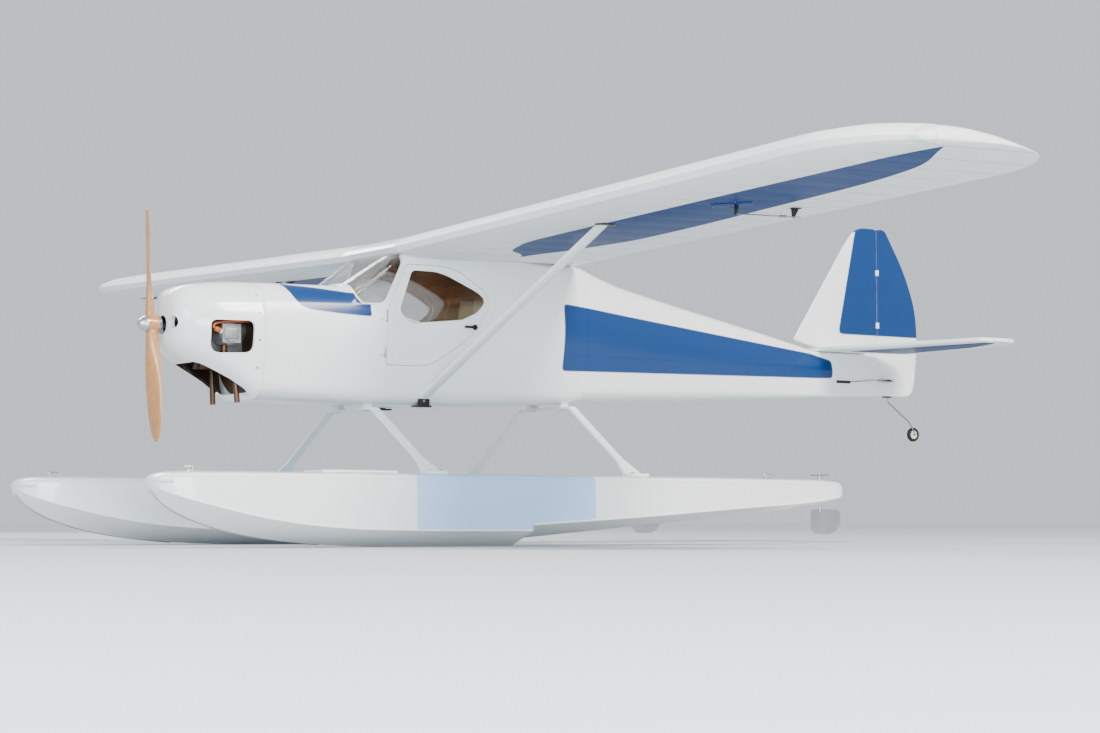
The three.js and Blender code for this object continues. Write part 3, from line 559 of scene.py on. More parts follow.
def body_scheme(tree):
    """Blue panel along the rear body, blue flash under the windscreen, stringers under the film."""
    station, _, z = surface_places(tree)
    panel = (station - PANEL_START).least(
        PANEL_END - station, station.line(PANEL_TOP) - z, z - station.line(PANEL_FOOT), soft=0.012
    )
    flash = (FLASH_END - station).least(
        station.line(FLASH_TOP, "AUTO_CLAMPED") - z, z - station.line(FLASH_FOOT, "AUTO_CLAMPED"), soft=0.006
    )
    stringers = (z - 0.3).wave(0.034).over(0.86, 7) * 0.25
    formers = (station - 0.84).wave(0.12).over(0.95, 20) * 0.18
    covered = (station - 0.8).edge(0.04)
    return {"Panel": panel.edge(0.003).most(flash.edge(0.003)), "Relief": (stringers + formers) * covered}


def fin_scheme(tree):
    """White leading edge on the fin, blue behind it above the tailplane, white below."""
    station, _, z = surface_places(tree)
    panel = (station - (z * 0.22 + 1.432)).least(z - 0.428, soft=0.02)
    return {"Panel": panel.edge(0.003), "Relief": (z - 0.31).wave(0.055).over(0.9, 10) * 0.25}


def tail_scheme(tree):
    """Blue lens across the tailplane and the elevators, white around it."""
    station, span, _ = surface_places(tree)
    front = span * 0.2 + 1.508
    rear = span.line([(0.0, 0.668), (0.25, 0.662), (0.34, 0.63), (0.4, 0.6)]) + 1.0
    panel = (station - front).least(rear - station, span - 0.045, 0.372 - span, soft=0.014)
    return {"Panel": panel.edge(0.003), "Relief": (span - 0.02).wave(0.063).over(0.9, 10) * 0.25}


def float_scheme(tree):
    """Painted shadow of the wing: a pale blue band on the sides and deck of each float, down to the chine; a
    seam under the deck.
    """
    station, _, z = surface_places(tree)
    band = (station - WING_SHADOW_START).least(WING_SHADOW_END - station, z - station.line(WING_SHADOW_FOOT))
    seam = ((z - 0.113).size() * -1 + 0.0012).edge(0.001)
    return {"Panel": band.edge(0.002), "Relief": seam * 0.5}


def roof_scheme(tree):
    """White above, brown inside the cabin."""
    station, across, z = surface_places(tree)
    stations = [0.43 + i * 0.034 for i in range(12)]
    rows = [(s, (under_wing(s, 0.0)[0].z + over_wing(s, 0.0)[0].z) / 2) for s in stations]
    inside = (station.line(rows) - z).least(0.0885 - across, 0.802 - station, station - 0.434)
    return {"Panel": inside.edge(0.002)}


def firewall_scheme(tree):
    """Oiled ply in the middle, a white rim that shows between cowl and body."""
    _, across, z = surface_places(tree)
    out, up = across * (1 / 0.094), (z - 0.354) * (1 / 0.095)
    return {"Panel": ((out * out + up * up) * -1 + 1).edge(0.01)}


WING_FILM = material("white film on the wings", COVERING, coat=0.03, shine=0.02, pattern=wing_scheme, Gloss=0.3)
BODY_FILM = material("white and blue body finish", COVERING, coat=0.15, pattern=body_scheme)
FIN_FILM = material("white and blue film on fin and rudder", COVERING, coat=0.15, pattern=fin_scheme)
TAIL_FILM = material("film on the tail", COVERING, coat=0.03, shine=0.02, pattern=tail_scheme, Gloss=0.3)
# White gel coat; its pale blue Trim is the wing's painted shadow on the floats.
FLOAT_PAINT_AND_WING_SHADOW = material(
    "white gel coat with the wing's shadow painted pale blue", COVERING, coat=0.5, pattern=float_scheme, Trim="#aed0f8", Gloss=0.12
)
ROOF_FILM = material("white roof, brown lining", COVERING, coat=0.2, pattern=roof_scheme, Trim="#6a4328")
COWL_PAINT = material("white moulded cowl", COVERING, coat=0.5, Gloss=0.12, Soil=0.5)
FIREWALL_PLY = material("oiled firewall ply", COVERING, pattern=firewall_scheme, Trim="#4b3929", Gloss=0.4)
STRUT_PAINT = material("white strut paint", COVERING, coat=0.2, Gloss=0.24)
WHITE_TRIM = material("white trim strip", COVERING, coat=0.3, Base="#f3f4f2", Gloss=0.2)
ALLOY = material("aluminium", METAL, metallic=1.0)
STEEL = material("spring steel", METAL, metallic=1.0, Metal="#8d8f91", Gloss=0.2, Tarnish=0.3)
BLACK_STEEL = material("blackened steel", METAL, metallic=0.7, Metal="#26272a", Dull="#3c342c", Gloss=0.35)
HOT_STEEL = material("heat-browned steel", METAL, metallic=0.8, Metal="#4b3d33", Dull="#8a5a34", Tarnish=0.9)
CAST_ALLOY = material("cast engine alloy", METAL, metallic=0.9, Metal="#8f9193", Dull="#5a5650", Gloss=0.4)
PROPELLER_WOOD = material("varnished beech", WOOD, coat=0.7, Stretch=(260, 260, 16))
CABIN_PLY = material("cabin ply", WOOD, Light="#a9784f", Dark="#744a2b", Gloss=0.5, Stretch=(14, 160, 160))
SEAT_CLOTH = material("beige seat cloth", WEAVE)
OILED_LINING = material("oil-stained lining", MOULDED, Tone="#3d3027", Rubbed="#5d4a3a", Gloss=0.5)
RUBBER = material("black rubber", MOULDED, Gloss=0.7)
PALE_RUBBER = material("pale rubber", MOULDED, Tone="#dcdedb", Rubbed="#b9b8b0", Gloss=0.6)
BLACK_NYLON = material("black nylon", MOULDED, Tone="#151617", Gloss=0.35)
CERAMIC = material("pale ceramic", MOULDED, Tone="#e6e2d6", Rubbed="#c9b58e", Gloss=0.25, Stipple=0.01)
ORANGE_SILICONE = material("orange silicone", MOULDED, Tone="#b8562a", Rubbed="#8a4020", Gloss=0.4)


def clear_sheet():
    """Clear plastic for the panes: lightly scuffed, half see-through without bending the view."""
    made, tree, shader = new_finish("clear sheet")
    scuffs = noise(tree, places(tree)[0], 60, 3)
    feed(tree, shader, {
        "Base Color": "#e6eee9", "Roughness": scuffs * 0.05, "Normal": bumped(tree, scuffs * 0.02),
        "Transmission Weight": 1.0, "IOR": 1.3, "Alpha": 0.4,
    })
    return made


CLEAR = clear_sheet()


# Solids that are kept: a finish, and smooth shading between their facets

NODE_FINISHES = [
    (WING_FILM, "wing_ aileron_"),
    (ROOF_FILM, "cabin_roof"),
    (BODY_FILM, "fuselage_front fuselage_rear door_"),
    (CLEAR, "door_glass_ windscreen"),
    (CABIN_PLY, "instrument_panel cabin_bulkhead seat_base"),
    (SEAT_CLOTH, "seat_cushion seat_back"),
    (COWL_PAINT, "cowl"),
    (FIREWALL_PLY, "firewall"),
    (CAST_ALLOY, "engine_crankcase cylinder_"),
    (HOT_STEEL, "muffler_"),
    (PROPELLER_WOOD, "propeller"),
    (STEEL, "propeller_shaft elevator_joiner tail_wheel_leg"),
    (ALLOY, "propeller_nut spreader_front spreader_rear water_rudder_"),
    (FLOAT_PAINT_AND_WING_SHADOW, "float_ float_hatch_"),
    (STRUT_PAINT, "belly_bar_front belly_bar_rear strut_ leg_front_ leg_rear_"),
    (TAIL_FILM, "stabiliser elevator_"),
    (FIN_FILM, "fin rudder"),
    (RUBBER, "tail_wheel"),
]


def dress(node, look):
    node.data.materials.clear()
    node.data.materials.append(look)
    for face in node.data.polygons:
        face.use_smooth = True
    node.modifiers.new("Weld", "WELD").merge_threshold = 1e-5
    node.modifiers.new("Crease", "EDGE_SPLIT").split_angle = math.radians(28)
    node.modifiers.new("Even shading", "WEIGHTED_NORMAL")


for look, names in NODE_FINISHES:
    for node in solids(names):
        dress(node, look)


# Small parts that repeat

def each_side(fit):
    for word, side in SIDES:
        fit(word, side)


def set_on(piece, place, normal, spin=0.0):
    """Lays a piece made about the origin, its +Z outwards, on a surface."""
    piece.data.transform(standing(place, normal) @ Matrix.Rotation(spin, 4, "Z"))
    return piece


def plate_on(spot, length, width, sink, rise, rounding, segments=2, spin=0.0):
    """A plate on a spot of a skin: half its length and width, how deep it sinks in, how far it stands out."""
    plate = block((0, 0, (rise - sink) / 2), (length, width, (rise + sink) / 2), rounding, segments)
    return set_on(plate, *spot, spin)


SCREW_PROFILE = mm([(-1, 0), (-1, 2.3), (0.6, 2.3), (1.3, 1.8), (1.4, 1), (0.6, 0.9), (0.6, 0)])


def screws(name, spots, size=1.0, body="airframe", look=STEEL):
    """Socket-head screws, one form copied to each spot of place and outward normal."""
    master = turned([(height * size, radius * size) for height, radius in SCREW_PROFILE], ORIGIN, UP, 16)
    copies = [set_on(linked("screw", master.data.copy()), place, normal) for place, normal in spots]
    bpy.data.objects.remove(master)
    return finish(joined(*copies), name, look, body)


def rounded_outline(rows, steps=6):
    """Points of an outline with rounded corners. Rows: two places, length cut off each edge there."""
    points = []
    for i, (a, b, cut) in enumerate(rows):
        corner = Vector((a, b))
        before = Vector(rows[i - 1][:2]) - corner
        after = Vector(rows[(i + 1) % len(rows)][:2]) - corner
        start = corner + before.normalized() * min(cut, 0.48 * before.length)
        end = corner + after.normalized() * min(cut, 0.48 * after.length)
        for k in range(steps + 1):
            t = k / steps
            points.append(start * (1 - t) ** 2 + corner * 2 * t * (1 - t) + end * t * t)
    return points


# Body: edging of the panes, hinges, handles, screws

WINDOW_OUTLINE = mm([
    (456, 490, 8), (512, 490, 20), (562, 472, 26), (617, 443, 24), (574, 404, 26), (452, 392, 18),
    (424, 412, 14),
])
SCREEN_FOOT = 0.339
SCREEN_SIDE = mm([
    (341, 452), (346, 436), (356, 424.5), (386, 424.6), (397, 427.5), (403, 434), (425.5, 478), (435.7, 498),
])


def pane_edging():
    for word, side in SIDES:
        loop = [on_side(station, z, side)[0] for station, z in rounded_outline(WINDOW_OUTLINE)]
        loop = [place for place in loop if place is not None and abs(place.y) > 0.088]
        edging = wire(loop, 0.0014, smooth=False, closed=True)
        finish(edging, f"window_edging_{word}", WHITE_TRIM, f"door_{word}")
        line = [on_side(station, z, side)[0] for station, z in SCREEN_SIDE]
        finish(wire(line, 0.0016, smooth=False), f"windscreen_edging_{word}", WHITE_TRIM)
    across = [on_top(SCREEN_FOOT, -0.086 + 0.172 * i / 24)[0] for i in range(25)]
    finish(wire(across, 0.0016, smooth=False), "windscreen_foot_edging", WHITE_TRIM)


HANDLE_PLACE = (0.584, 0.392)
HINGE_PIN_STATION, HINGE_LEAF_STATION, HINGE_SCREW_STATION = 0.4015, 0.3945, 0.393
HINGE_HEIGHTS = (0.342, 0.404)
ROSE_PROFILE = mm([(-1, 0), (-1, 5.2), (1.2, 5.2), (2, 4.4), (2, 0)])


def door_fittings(word, side):
    handle = joined(
        turned(ROSE_PROFILE, ORIGIN, UP, 24),
        block((-0.01075, 0, 0.0036), (0.01325, 0.0022, 0.0016), 0.0011, 3),
        rod((0, 0, 0.0005), (0, 0, 0.0045), 0.0019, 16),
    )
    set_on(handle, *on_side(*HANDLE_PLACE, side), 0.0 if side > 0 else math.pi)
    finish(handle, f"door_handle_{word}", BLACK_STEEL, f"door_{word}")
    for i, z in enumerate(HINGE_HEIGHTS):
        place = on_side(HINGE_PIN_STATION, z, side)[0]
        half = Vector((0, 0, 0.011))
        finish(rod(place - half, place + half, 0.0016, 16, 0.0004), f"hinge_pin_{word}_{i}", STEEL)
        leaf = plate_on(on_side(HINGE_LEAF_STATION, z, side), 0.006, 0.009, 0.0003, 0.0009, 0.0004)
        finish(leaf, f"hinge_leaf_{word}_{i}", WHITE_TRIM)
        spots = [on_side(HINGE_SCREW_STATION, z + dz, side) for dz in (-0.006, 0.006)]
        screws(f"hinge_screws_{word}_{i}", raised(spots, 0.0008), 0.5)


COWL_JOINT = 0.158


def cowl_screws():
    spots = [on_side(COWL_JOINT, z, side) for side in (1, -1) for z in (0.305, 0.352, 0.398, 0.430)]
    spots += [on_top(COWL_JOINT, y) for y in (-0.032, 0.032)]
    screws("cowl_screws", spots, 0.85)


CHEEK_OUTLINE = mm([(72, 384, 12), (148, 384, 12), (148, 330, 14), (76, 328, 18)])
CHEEK_MIDDLE = Vector((0.110, 0.356))
INTAKE_Y, INTAKE_HEIGHT, INTAKE_RADIUS = 0.042, 0.380, 0.0116


def cowl_lips(word, side):
    """Rolled lips round an intake and a cheek opening."""
    intake = []
    for i in range(28):
        turn = math.tau * i / 28
        y, z = side * INTAKE_Y + INTAKE_RADIUS * math.cos(turn), INTAKE_HEIGHT + INTAKE_RADIUS * math.sin(turn)
        intake.append(hit(BODY_SKIN, (1.2, y, z), AFT)[0])
    cheek = []
    for point in rounded_outline(CHEEK_OUTLINE):
        point += (point - CHEEK_MIDDLE).normalized() * 0.0009
        cheek.append(on_side(*point, side)[0])
    for name, rim, radius in (("intake", intake, 0.0010), ("cheek", cheek, 0.0009)):
        lip = wire(rim, radius, smooth=False, closed=True)
        finish(lip, f"{name}_lip_{word}", COWL_PAINT, angle=60)


# Linings: thin skins inside the hollow solids

def lining_of(node, name, keep, look, body="airframe"):
    """The faces of a hollow solid that keep names, copied a hair inside it as a thin lining."""
    lining = linked(name, NODES[node].data.copy())
    edit(lining)
    bpy.ops.mesh.remove_doubles(threshold=1e-5)
    mesh = bmesh.from_edit_mesh(lining.data)
    bmesh.ops.delete(mesh, geom=[face for face in mesh.faces if not keep(face)], context="FACES")
    bmesh.update_edit_mesh(lining.data)
    bpy.ops.mesh.select_all(action="SELECT")
    bpy.ops.transform.shrink_fatten(value=0.0003)
    done_editing()
    modify(lining, "SOLIDIFY", thickness=0.0003, offset=1.0)
    return finish(lining, name, look, body)


def faces_inwards(face, axis_height=0.39, least=0.3):
    middle = face.calc_center_median()
    out = Vector((0, middle.y, middle.z - axis_height)).normalized()
    return face.normal.dot(out) < -least


def faces_engine(face):
    in_front = face.normal.x < -0.5 and face.calc_center_median().x > at(0.150)
    return in_front or faces_inwards(face, 0.36, 0.5)


# Inside: linings, dials on the panel, control stick

PANEL_STATION = 0.352
DIALS = mm([  # across, height, radius
    (-52, 424, 11.5), (-18, 430, 11.5), (18, 430, 11.5), (52, 424, 11.5), (-36, 396, 11.5), (0, 400, 8),
    (36, 396, 11.5),
])
STICK_FOOT, STICK_GRIP = (at(0.468), 0, 0.256), (at(0.472), 0, 0.352)
GRIP_PROFILE = mm([(0, 0), (0, 4.2), (4, 5.8), (12, 5.2), (22, 6), (27, 4.8), (29, 0)])


def inside():
    lining_of("cowl", "cowl_lining", faces_engine, OILED_LINING)
    lining_of("fuselage_front", "cabin_lining", faces_inwards, CABIN_PLY)
    for word, _ in SIDES:
        lining_of(f"door_{word}", f"door_lining_{word}", faces_inwards, CABIN_PLY, f"door_{word}")
    for i, (y, z, radius) in enumerate(DIALS):
        middle = (at(PANEL_STATION), y, z)
        face = [
            (0, 0), (0, radius), (0.0025, radius), (0.003, radius * 0.93), (0.0012, radius * 0.86), (0.0012, 0),
        ]
        finish(turned(face, middle, AFT, 28), f"dial_{i}", BLACK_NYLON)
        hand = block((0, radius * 0.35 - 0.0004, 0.00155), (0.0004, radius * 0.35 + 0.0004, 0.00025))
        finish(set_on(hand, middle, AFT, 0.7 * i), f"dial_hand_{i}", CERAMIC)
    grip = turned(GRIP_PROFILE, Vector(STICK_GRIP) - Vector((0, 0, 0.002)), (-0.04, 0, 1), 20)
    finish(joined(rod(STICK_FOOT, STICK_GRIP, 0.0028, 16), grip), "control_stick", BLACK_NYLON)


# Soft seat

PAD_GIVE = 0.008  # how far the cloth may move
PAD_BULGE = 0.0015  # how far it may leave the solid's box


def padded_seat(node, name):
    """A crowned pad in a seat solid's place: remeshed, blown up as cloth, held within a few millimetres."""
    pad = linked(name, NODES[node].data.copy())
    edit(pad)
    bpy.ops.mesh.remove_doubles(threshold=1e-5)
    done_editing()
    low, high = (Vector(corner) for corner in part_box(node))
    middle, size = (low + high) / 2, high - low
    shrink = Matrix.Diagonal((*((length - 0.004) / length for length in size), 1))
    pad.data.transform(Matrix.Translation(middle) @ shrink @ Matrix.Translation(-middle))
    modify(pad, "REMESH", mode="VOXEL", voxel_size=0.0045)
    rest = [vertex.co.copy() for vertex in pad.data.vertices]
    choose(pad)
    cloth = pad.modifiers.new("Cloth", "CLOTH")
    cloth.settings.use_pressure = True
    cloth.settings.uniform_pressure_force = 4
    cloth.settings.effector_weights.gravity = 0
    for frame_number in range(1, 21):
        bpy.context.scene.frame_set(frame_number)
    bpy.ops.object.modifier_apply(modifier="Cloth")
    bpy.context.scene.frame_set(1)
    for vertex, start in zip(pad.data.vertices, rest):
        step = vertex.co - start
        if step.length > PAD_GIVE:
            vertex.co = start + step * (PAD_GIVE / step.length)
        for k in range(3):
            vertex.co[k] = min(max(vertex.co[k], low[k] - PAD_BULGE), high[k] + PAD_BULGE)
    modify(pad, "SUBSURF", levels=1, render_levels=1)
    finish(pad, name, SEAT_CLOTH, angle=180)
    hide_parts(node)


# Engine seen through the cowl's openings

ENGINE_X, ENGINE_HEIGHT = at(0.112), 0.362
EXHAUST_Y, EXHAUST_HEIGHT = 0.044, 0.318
PLUG_PROFILE = mm([(-1, 0), (-1, 4.6), (3, 4.6), (3.4, 3), (9, 2.6), (9, 0)])
CAP_PROFILE = mm([(4, 0), (4, 4), (5.2, 4.6), (12, 4.6), (14.5, 3.6), (14.5, 0)])
CAN_END = mm([(0, 0), (0.6, 8), (2.2, 10.4), (4.6, 11.4), (10, 11.4), (10.6, 10.95), (11.4, 10.95), (12, 11.4)])
CAN_LENGTH = 0.056
CAN_PROFILE = CAN_END + [(CAN_LENGTH - height, radius) for height, radius in reversed(CAN_END)]
HEADER_PROFILE = mm([
    (6, 0), (6, 5.6), (12.5, 5.6), (13.2, 6.8), (15.6, 6.8), (16.3, 5.6), (26.2, 5.6), (26.2, 0),
])


def rocker_cover(word, side):
    x, z = ENGINE_X, ENGINE_HEIGHT
    plate = block((x, side * 0.0735, z), (0.015, 0.0012, 0.013), 0.0008)
    cover = block((x, side * 0.0795, z), (0.013, 0.0035, 0.010), 0.0022, 3)
    finish(joined(plate, cover), f"rocker_cover_{word}", CAST_ALLOY)
    spots = [
        ((x + dx, side * 0.0828, z + dz), (0, side, 0)) for dx in (-0.009, 0.009) for dz in (-0.006, 0.006)
    ]
    screws(f"rocker_screws_{word}", spots, 0.55)


def spark_plug(word, side):
    """The plug's body, and its cap with the lead that runs over the cylinder to the firewall."""
    x, z = ENGINE_X, ENGINE_HEIGHT
    base, way = Vector((x + 0.0165, side * 0.0745, z + 0.003)), Vector((1, side * 0.2, 0.32)).normalized()
    finish(turned(PLUG_PROFILE, base, way, 6), f"spark_plug_{word}", CERAMIC)
    start = base + way * 0.0135
    lead = wire([
        start, start + Vector((0.004, side * 0.001, 0.004)), (x + 0.017, side * 0.0765, z + 0.0185),
        (x - 0.004, side * 0.0765, z + 0.0205), (x - 0.030, side * 0.072, z + 0.022),
        (x - 0.042, side * 0.060, z + 0.022),
    ], 0.0019)
    cap = turned(CAP_PROFILE, base, way, 20)
    finish(joined(cap, lead), f"plug_lead_{word}", ORANGE_SILICONE, angle=60)


def exhaust(word, side):
    """A can with its header and the short pipe that leaves the cowl."""
    can = turned(CAN_PROFILE, (at(0.152), side * EXHAUST_Y, EXHAUST_HEIGHT), AHEAD, 40)
    start = Vector((at(0.134), side * EXHAUST_Y, EXHAUST_HEIGHT))
    end = Vector((at(0.139), side * 0.048, 0.2462))
    length = (end - start).length
    pipe_profile = [
        (0.004, 0), (0.004, 0.0048), (0.0125, 0.0066), (0.0150, 0.0066), (0.0162, 0.0048), (length, 0.0049),
        (length, 0.0041), (length - 0.026, 0.0040), (length - 0.026, 0),
    ]
    pipe = turned(pipe_profile, start, end - start, 28)
    header = turned(HEADER_PROFILE, (ENGINE_X, side * 0.050, EXHAUST_HEIGHT), UP, 28)
    piece = finish(joined(can, pipe, header), f"exhaust_{word}", HOT_STEEL, angle=40)
    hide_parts(f"muffler_{word}")


def engine_details(word, side):
    rocker_cover(word, side)
    spark_plug(word, side)
    for i, y in enumerate((0.040, 0.058)):
        foot = (ENGINE_X - 0.024, side * (y - 0.012), ENGINE_HEIGHT - 0.006)
        top = (ENGINE_X - 0.017, side * (y + 0.014), ENGINE_HEIGHT + 0.004)
        finish(rod(foot, top, 0.0022, 14), f"pushrod_tube_{word}_{i}", STEEL)
    exhaust(word, side)


HUB_PROFILE = mm([(0, 4.5), (0, 14), (1.2, 14), (1.6, 13.2), (1.6, 4.5), (0, 4.5)])


def propeller_details():
    plate = turned(HUB_PROFILE, (NOSE_X + 0.0091, 0, THRUST_HEIGHT), AHEAD)
    finish(plate, "hub_plate", ALLOY, "propeller")


# Struts and legs

STRUT_FOOT_X = at(0.492)
STRUT_HEAD_STATION, STRUT_HEAD_Y = 0.548, 0.566
LEGS = [("front", 0.390, 0.2390), ("rear", 0.810, 0.2519)]  # place, station, height of the belly bolts
SPREADER_END_Y, SPREADER_HEIGHT = 0.2158, 0.102


def strut_fittings(word, side):
    x = STRUT_FOOT_X
    plate = block((x, side * 0.072, 0.248), (0.017, 0.008, 0.0015), 0.0006)
    ear = block((x, side * 0.0795, 0.25575), (0.012, 0.001, 0.00825), 0.0006)
    finish(joined(plate, ear), f"strut_foot_bracket_{word}", BLACK_STEEL)
    screws(f"strut_foot_bolts_{word}", [((x, side * 0.0805, 0.2575), (0, side, 0))], 1.1)
    spot = under_wing(STRUT_HEAD_STATION, side * STRUT_HEAD_Y)
    pad = plate_on(spot, 0.020, 0.011, 0.0004, 0.0014, 0.0008)
    finish(pad, f"strut_head_plate_{word}", BLACK_STEEL)
    spots = [
        under_wing(STRUT_HEAD_STATION + ds, side * (STRUT_HEAD_Y + dy))
        for dy in (0.006, -0.006) for ds in (-0.015, 0.015)
    ]
    screws(f"strut_head_screws_{word}", raised(spots, 0.0012), 0.7)


def leg_fittings():
    for place, station, bolt_height in LEGS:
        x = at(station)
        spots = [((x, side * y, bolt_height), DOWN) for side in (1, -1) for y in (0.044, 0.056)]
        screws(f"belly_bolts_{place}", spots)
        for word, side in SIDES:
            spots = [((x + dx, side * (FLOAT_TRACK + 0.004), 0.1285), UP) for dx in (-0.011, 0.011)]
            screws(f"leg_foot_screws_{place}_{word}", spots, 1.1)
            bar_end = (x, side * SPREADER_END_Y, SPREADER_HEIGHT)
            collar = turned(ring(0.0062, 0.0086, 0.010), bar_end, PORTWARD, 28)
            finish(collar, f"spreader_collar_{place}_{word}", ALLOY)


# Floats. Rows of distance aft of the bow, distance from the float's middle, height.

CHINE = mm([
    (8, 27, 93), (30, 42, 83), (90, 57, 66), (190, 65, 45), (310, 68, 32), (440, 69, 28), (560, 69, 27.2),
    (674, 69, 27),
])
AFTER_CHINE = mm([
    (677, 68, 37), (790, 65.5, 43.5), (900, 63, 50), (1130, 53, 66), (1330, 38, 80), (1390, 27, 87.5),
])
KEEL = mm([
    (2, 0, 103.5), (6, 0, 88.5), (30, 0, 65.2), (90, 0, 38.5), (150, 0, 23.5), (230, 0, 11.5), (300, 0, 5),
])
HATCH_TOP, CLEAT_DECK = 0.126, 0.1225
CLEAT_RUNS = (0.070, 1.240)


def along_float(rows, side, edge=1, drop=0.0):
    """Points of a line of rows on one float, on one edge of it."""
    return [(on_float(run), side * FLOAT_TRACK + edge * y, z - drop) for run, y, z in rows]


def float_details(word, side):
    middle = side * FLOAT_TRACK
    rails = [wire(along_float(rows, side, edge), 0.0014) for rows in (CHINE, AFTER_CHINE) for edge in (1, -1)]
    finish(joined(*rails), f"spray_rails_{word}", WHITE_TRIM, angle=60)
    strip = wire(along_float(KEEL, side, drop=0.0002), 0.0018)
    finish(strip, f"keel_strip_{word}", ALLOY, angle=60)
    rim = [hit(FLOAT_SKIN, (1.2, middle + 0.040 * (i / 6 - 1), 0.1055), AFT)[0] for i in range(13)]
    for place in rim:
        place.x = min(place.x - 0.0004, CAD_BOX[1][0] - 0.0025)
    finish(wire(rim, 0.0024), f"bow_bumper_{word}", PALE_RUBBER, angle=60)
    spots = [
        ((on_float(run), middle + dy, HATCH_TOP), UP) for run in (0.300, 0.360, 0.420) for dy in (-0.028, 0.028)
    ]
    screws(f"hatch_screws_{word}", spots, 0.8)
    for i, run in enumerate(CLEAT_RUNS):
        x, deck = on_float(run), CLEAT_DECK
        base = block((x, middle, deck - 0.0004), (0.007, 0.003, 0.0016), 0.0005)
        posts = [
            rod((x + dx, middle, deck), (x + dx, middle, deck + 0.006), 0.0014, 14) for dx in (-0.004, 0.004)
        ]
        top = deck + 0.0068
        horns = rod((x - 0.011, middle, top), (x + 0.011, middle, top), 0.0016, 16, 0.0008)
        finish(joined(base, *posts, horns), f"deck_cleat_{word}_{i}", ALLOY)


WATER_RUDDER_X = at(1.236)
BLADE_RIVETS = mm([(-4, 57), (-4, 42), (-4, 28), (-30, 56)])  # place ahead of the post, height


def water_rudder_details(word, side):
    middle, body = side * FLOAT_TRACK, f"water_rudder_{word}"
    collar = turned(ring(0.0026, 0.0052, 0.003), (WATER_RUDDER_X, middle, 0.1262), UP, 24)
    finish(collar, f"post_collar_{word}", ALLOY, body)
    spots = [((WATER_RUDDER_X, middle + dy, 0.1305), UP) for dy in (-0.0205, 0.0205)]
    screws(f"tiller_pins_{word}", spots, 0.7, body)
    spots = [
        ((WATER_RUDDER_X + dx, middle + face * 0.0014, z), (0, face, 0))
        for dx, z in BLADE_RIVETS for face in (1, -1)
    ]
    screws(f"blade_rivets_{word}", spots, 0.6, body, ALLOY)


# Linkages: push rods with forks, and control horns

PRONG_OFFSET = 0.0019


def link(name, start, end, way, across, reach):
    """A push rod that ends in a long fork. A horn's plate moves between its prongs, clear of its barrel."""
    start, end, way, across = Vector(start), Vector(end), Vector(way).normalized(), Vector(across)
    barrel_end = end - way * reach
    barrel_start = barrel_end - way * 0.010
    shaft = wire(
        [start, start.lerp(barrel_start, 0.35), barrel_start - way * 0.012, barrel_start + way * 0.002], 0.001
    )
    barrel = rod(barrel_start, barrel_end, 0.0021, 20, 0.0004)
    block = rod(barrel_end - way * 0.001, barrel_end + way * 0.0025, 0.0026, 6, 0.0004)
    prongs = [
        rod(barrel_end + lift, end + way * (reach - 0.003) + lift, 0.0007, 12, 0.0002)
        for lift in (across * -PRONG_OFFSET, across * PRONG_OFFSET)
    ]
    finish(joined(shaft, barrel, block, *prongs), name, STEEL)


HORN_OUTLINE = mm([(-13, -1), (4, -1), (4, 3), (2.2, 16), (-2.2, 16.5), (-11, 3)])
HORN_FOOT = mm([(-14, -5), (4.5, -5), (4.5, 5), (-14, 5)])
HORN_PIN_DROP = Vector((0, 0, -0.0145))


def horn(name, place, body):
    """A moulded control horn: a foot, and a thin triangle that reaches down into a rod's fork."""
    place = Vector(place)
    plate = cut_sheet([place + Vector((a, -0.0007, -b)) for a, b in HORN_OUTLINE], (0, 0.0014, 0), 0.0003)
    foot = cut_sheet([place + Vector((a, b, 0.001)) for a, b in HORN_FOOT], (0, 0, -0.0022), 0.0005)
    finish(joined(plate, foot), name, BLACK_NYLON, body)


# Wing: servo hatches, horns and rods under the ailerons, hinges

SERVO_STATION, SERVO_Y = 0.615, 0.82
ARM_OUTLINE = mm([(4.5, -0.7, 2), (-4.5, -0.7, 2), (-0.5, -0.7, -16.5), (4.5, -0.7, -16.5)])
ARM_PIN = Vector((0.002, 0, -0.0145))


def aileron_linkage(word, y):
    arm_root, _ = under_wing(0.622, y)
    arm = cut_sheet([arm_root + Vector(corner) for corner in ARM_OUTLINE], (0, 0.0014, 0), 0.0003)
    finish(arm, f"servo_arm_{word}", BLACK_NYLON)
    foot, _ = under_wing(WING_LEADING + 0.79 * WING_CHORD, y)
    horn(f"aileron_horn_{word}", foot, f"aileron_{word}")
    start, end, half = arm_root + ARM_PIN, foot + HORN_PIN_DROP, Vector((0, 0.0028, 0))
    finish(rod(start - half, start + half, 0.0008, 12), f"servo_arm_pin_{word}", STEEL)
    link(f"aileron_rod_{word}", start, end, end - start, PORTWARD, 0.017)


def wing_details(word, side):
    y = side * SERVO_Y
    plate = plate_on(under_wing(SERVO_STATION, y), 0.022, 0.032, 0.0005, 0.0009, 0.0006)
    finish(plate, f"servo_hatch_{word}", WING_FILM)
    spots = [under_wing(SERVO_STATION + ds, y + dy) for ds in (-0.018, 0.018) for dy in (-0.028, 0.028)]
    screws(f"servo_hatch_screws_{word}", raised(spots, 0.0008), 0.6)
    aileron_linkage(word, y)
    for i, span in enumerate((0.735, 0.86, 1.0, 1.13)):
        spot = over_wing(WING_LEADING + 0.7635 * WING_CHORD, side * span)
        strap = plate_on(spot, 0.004, 0.008, 0.0004, 0.0004, 0.0003)
        finish(strap, f"aileron_hinge_{word}_{i}", WHITE_TRIM)


# Tail: rudder and elevator linkages, hinges, tail wheel

RUDDER_HORN = mm([(1644, -6), (1664, -6), (1664, 6), (1652, 27), (1646, 27), (1641, 6)])
ELEVATOR_HORN_PLACE = Vector((at(1.596), -0.034, 0.3896))
RUDDER_HINGE_X = at(1.6360)


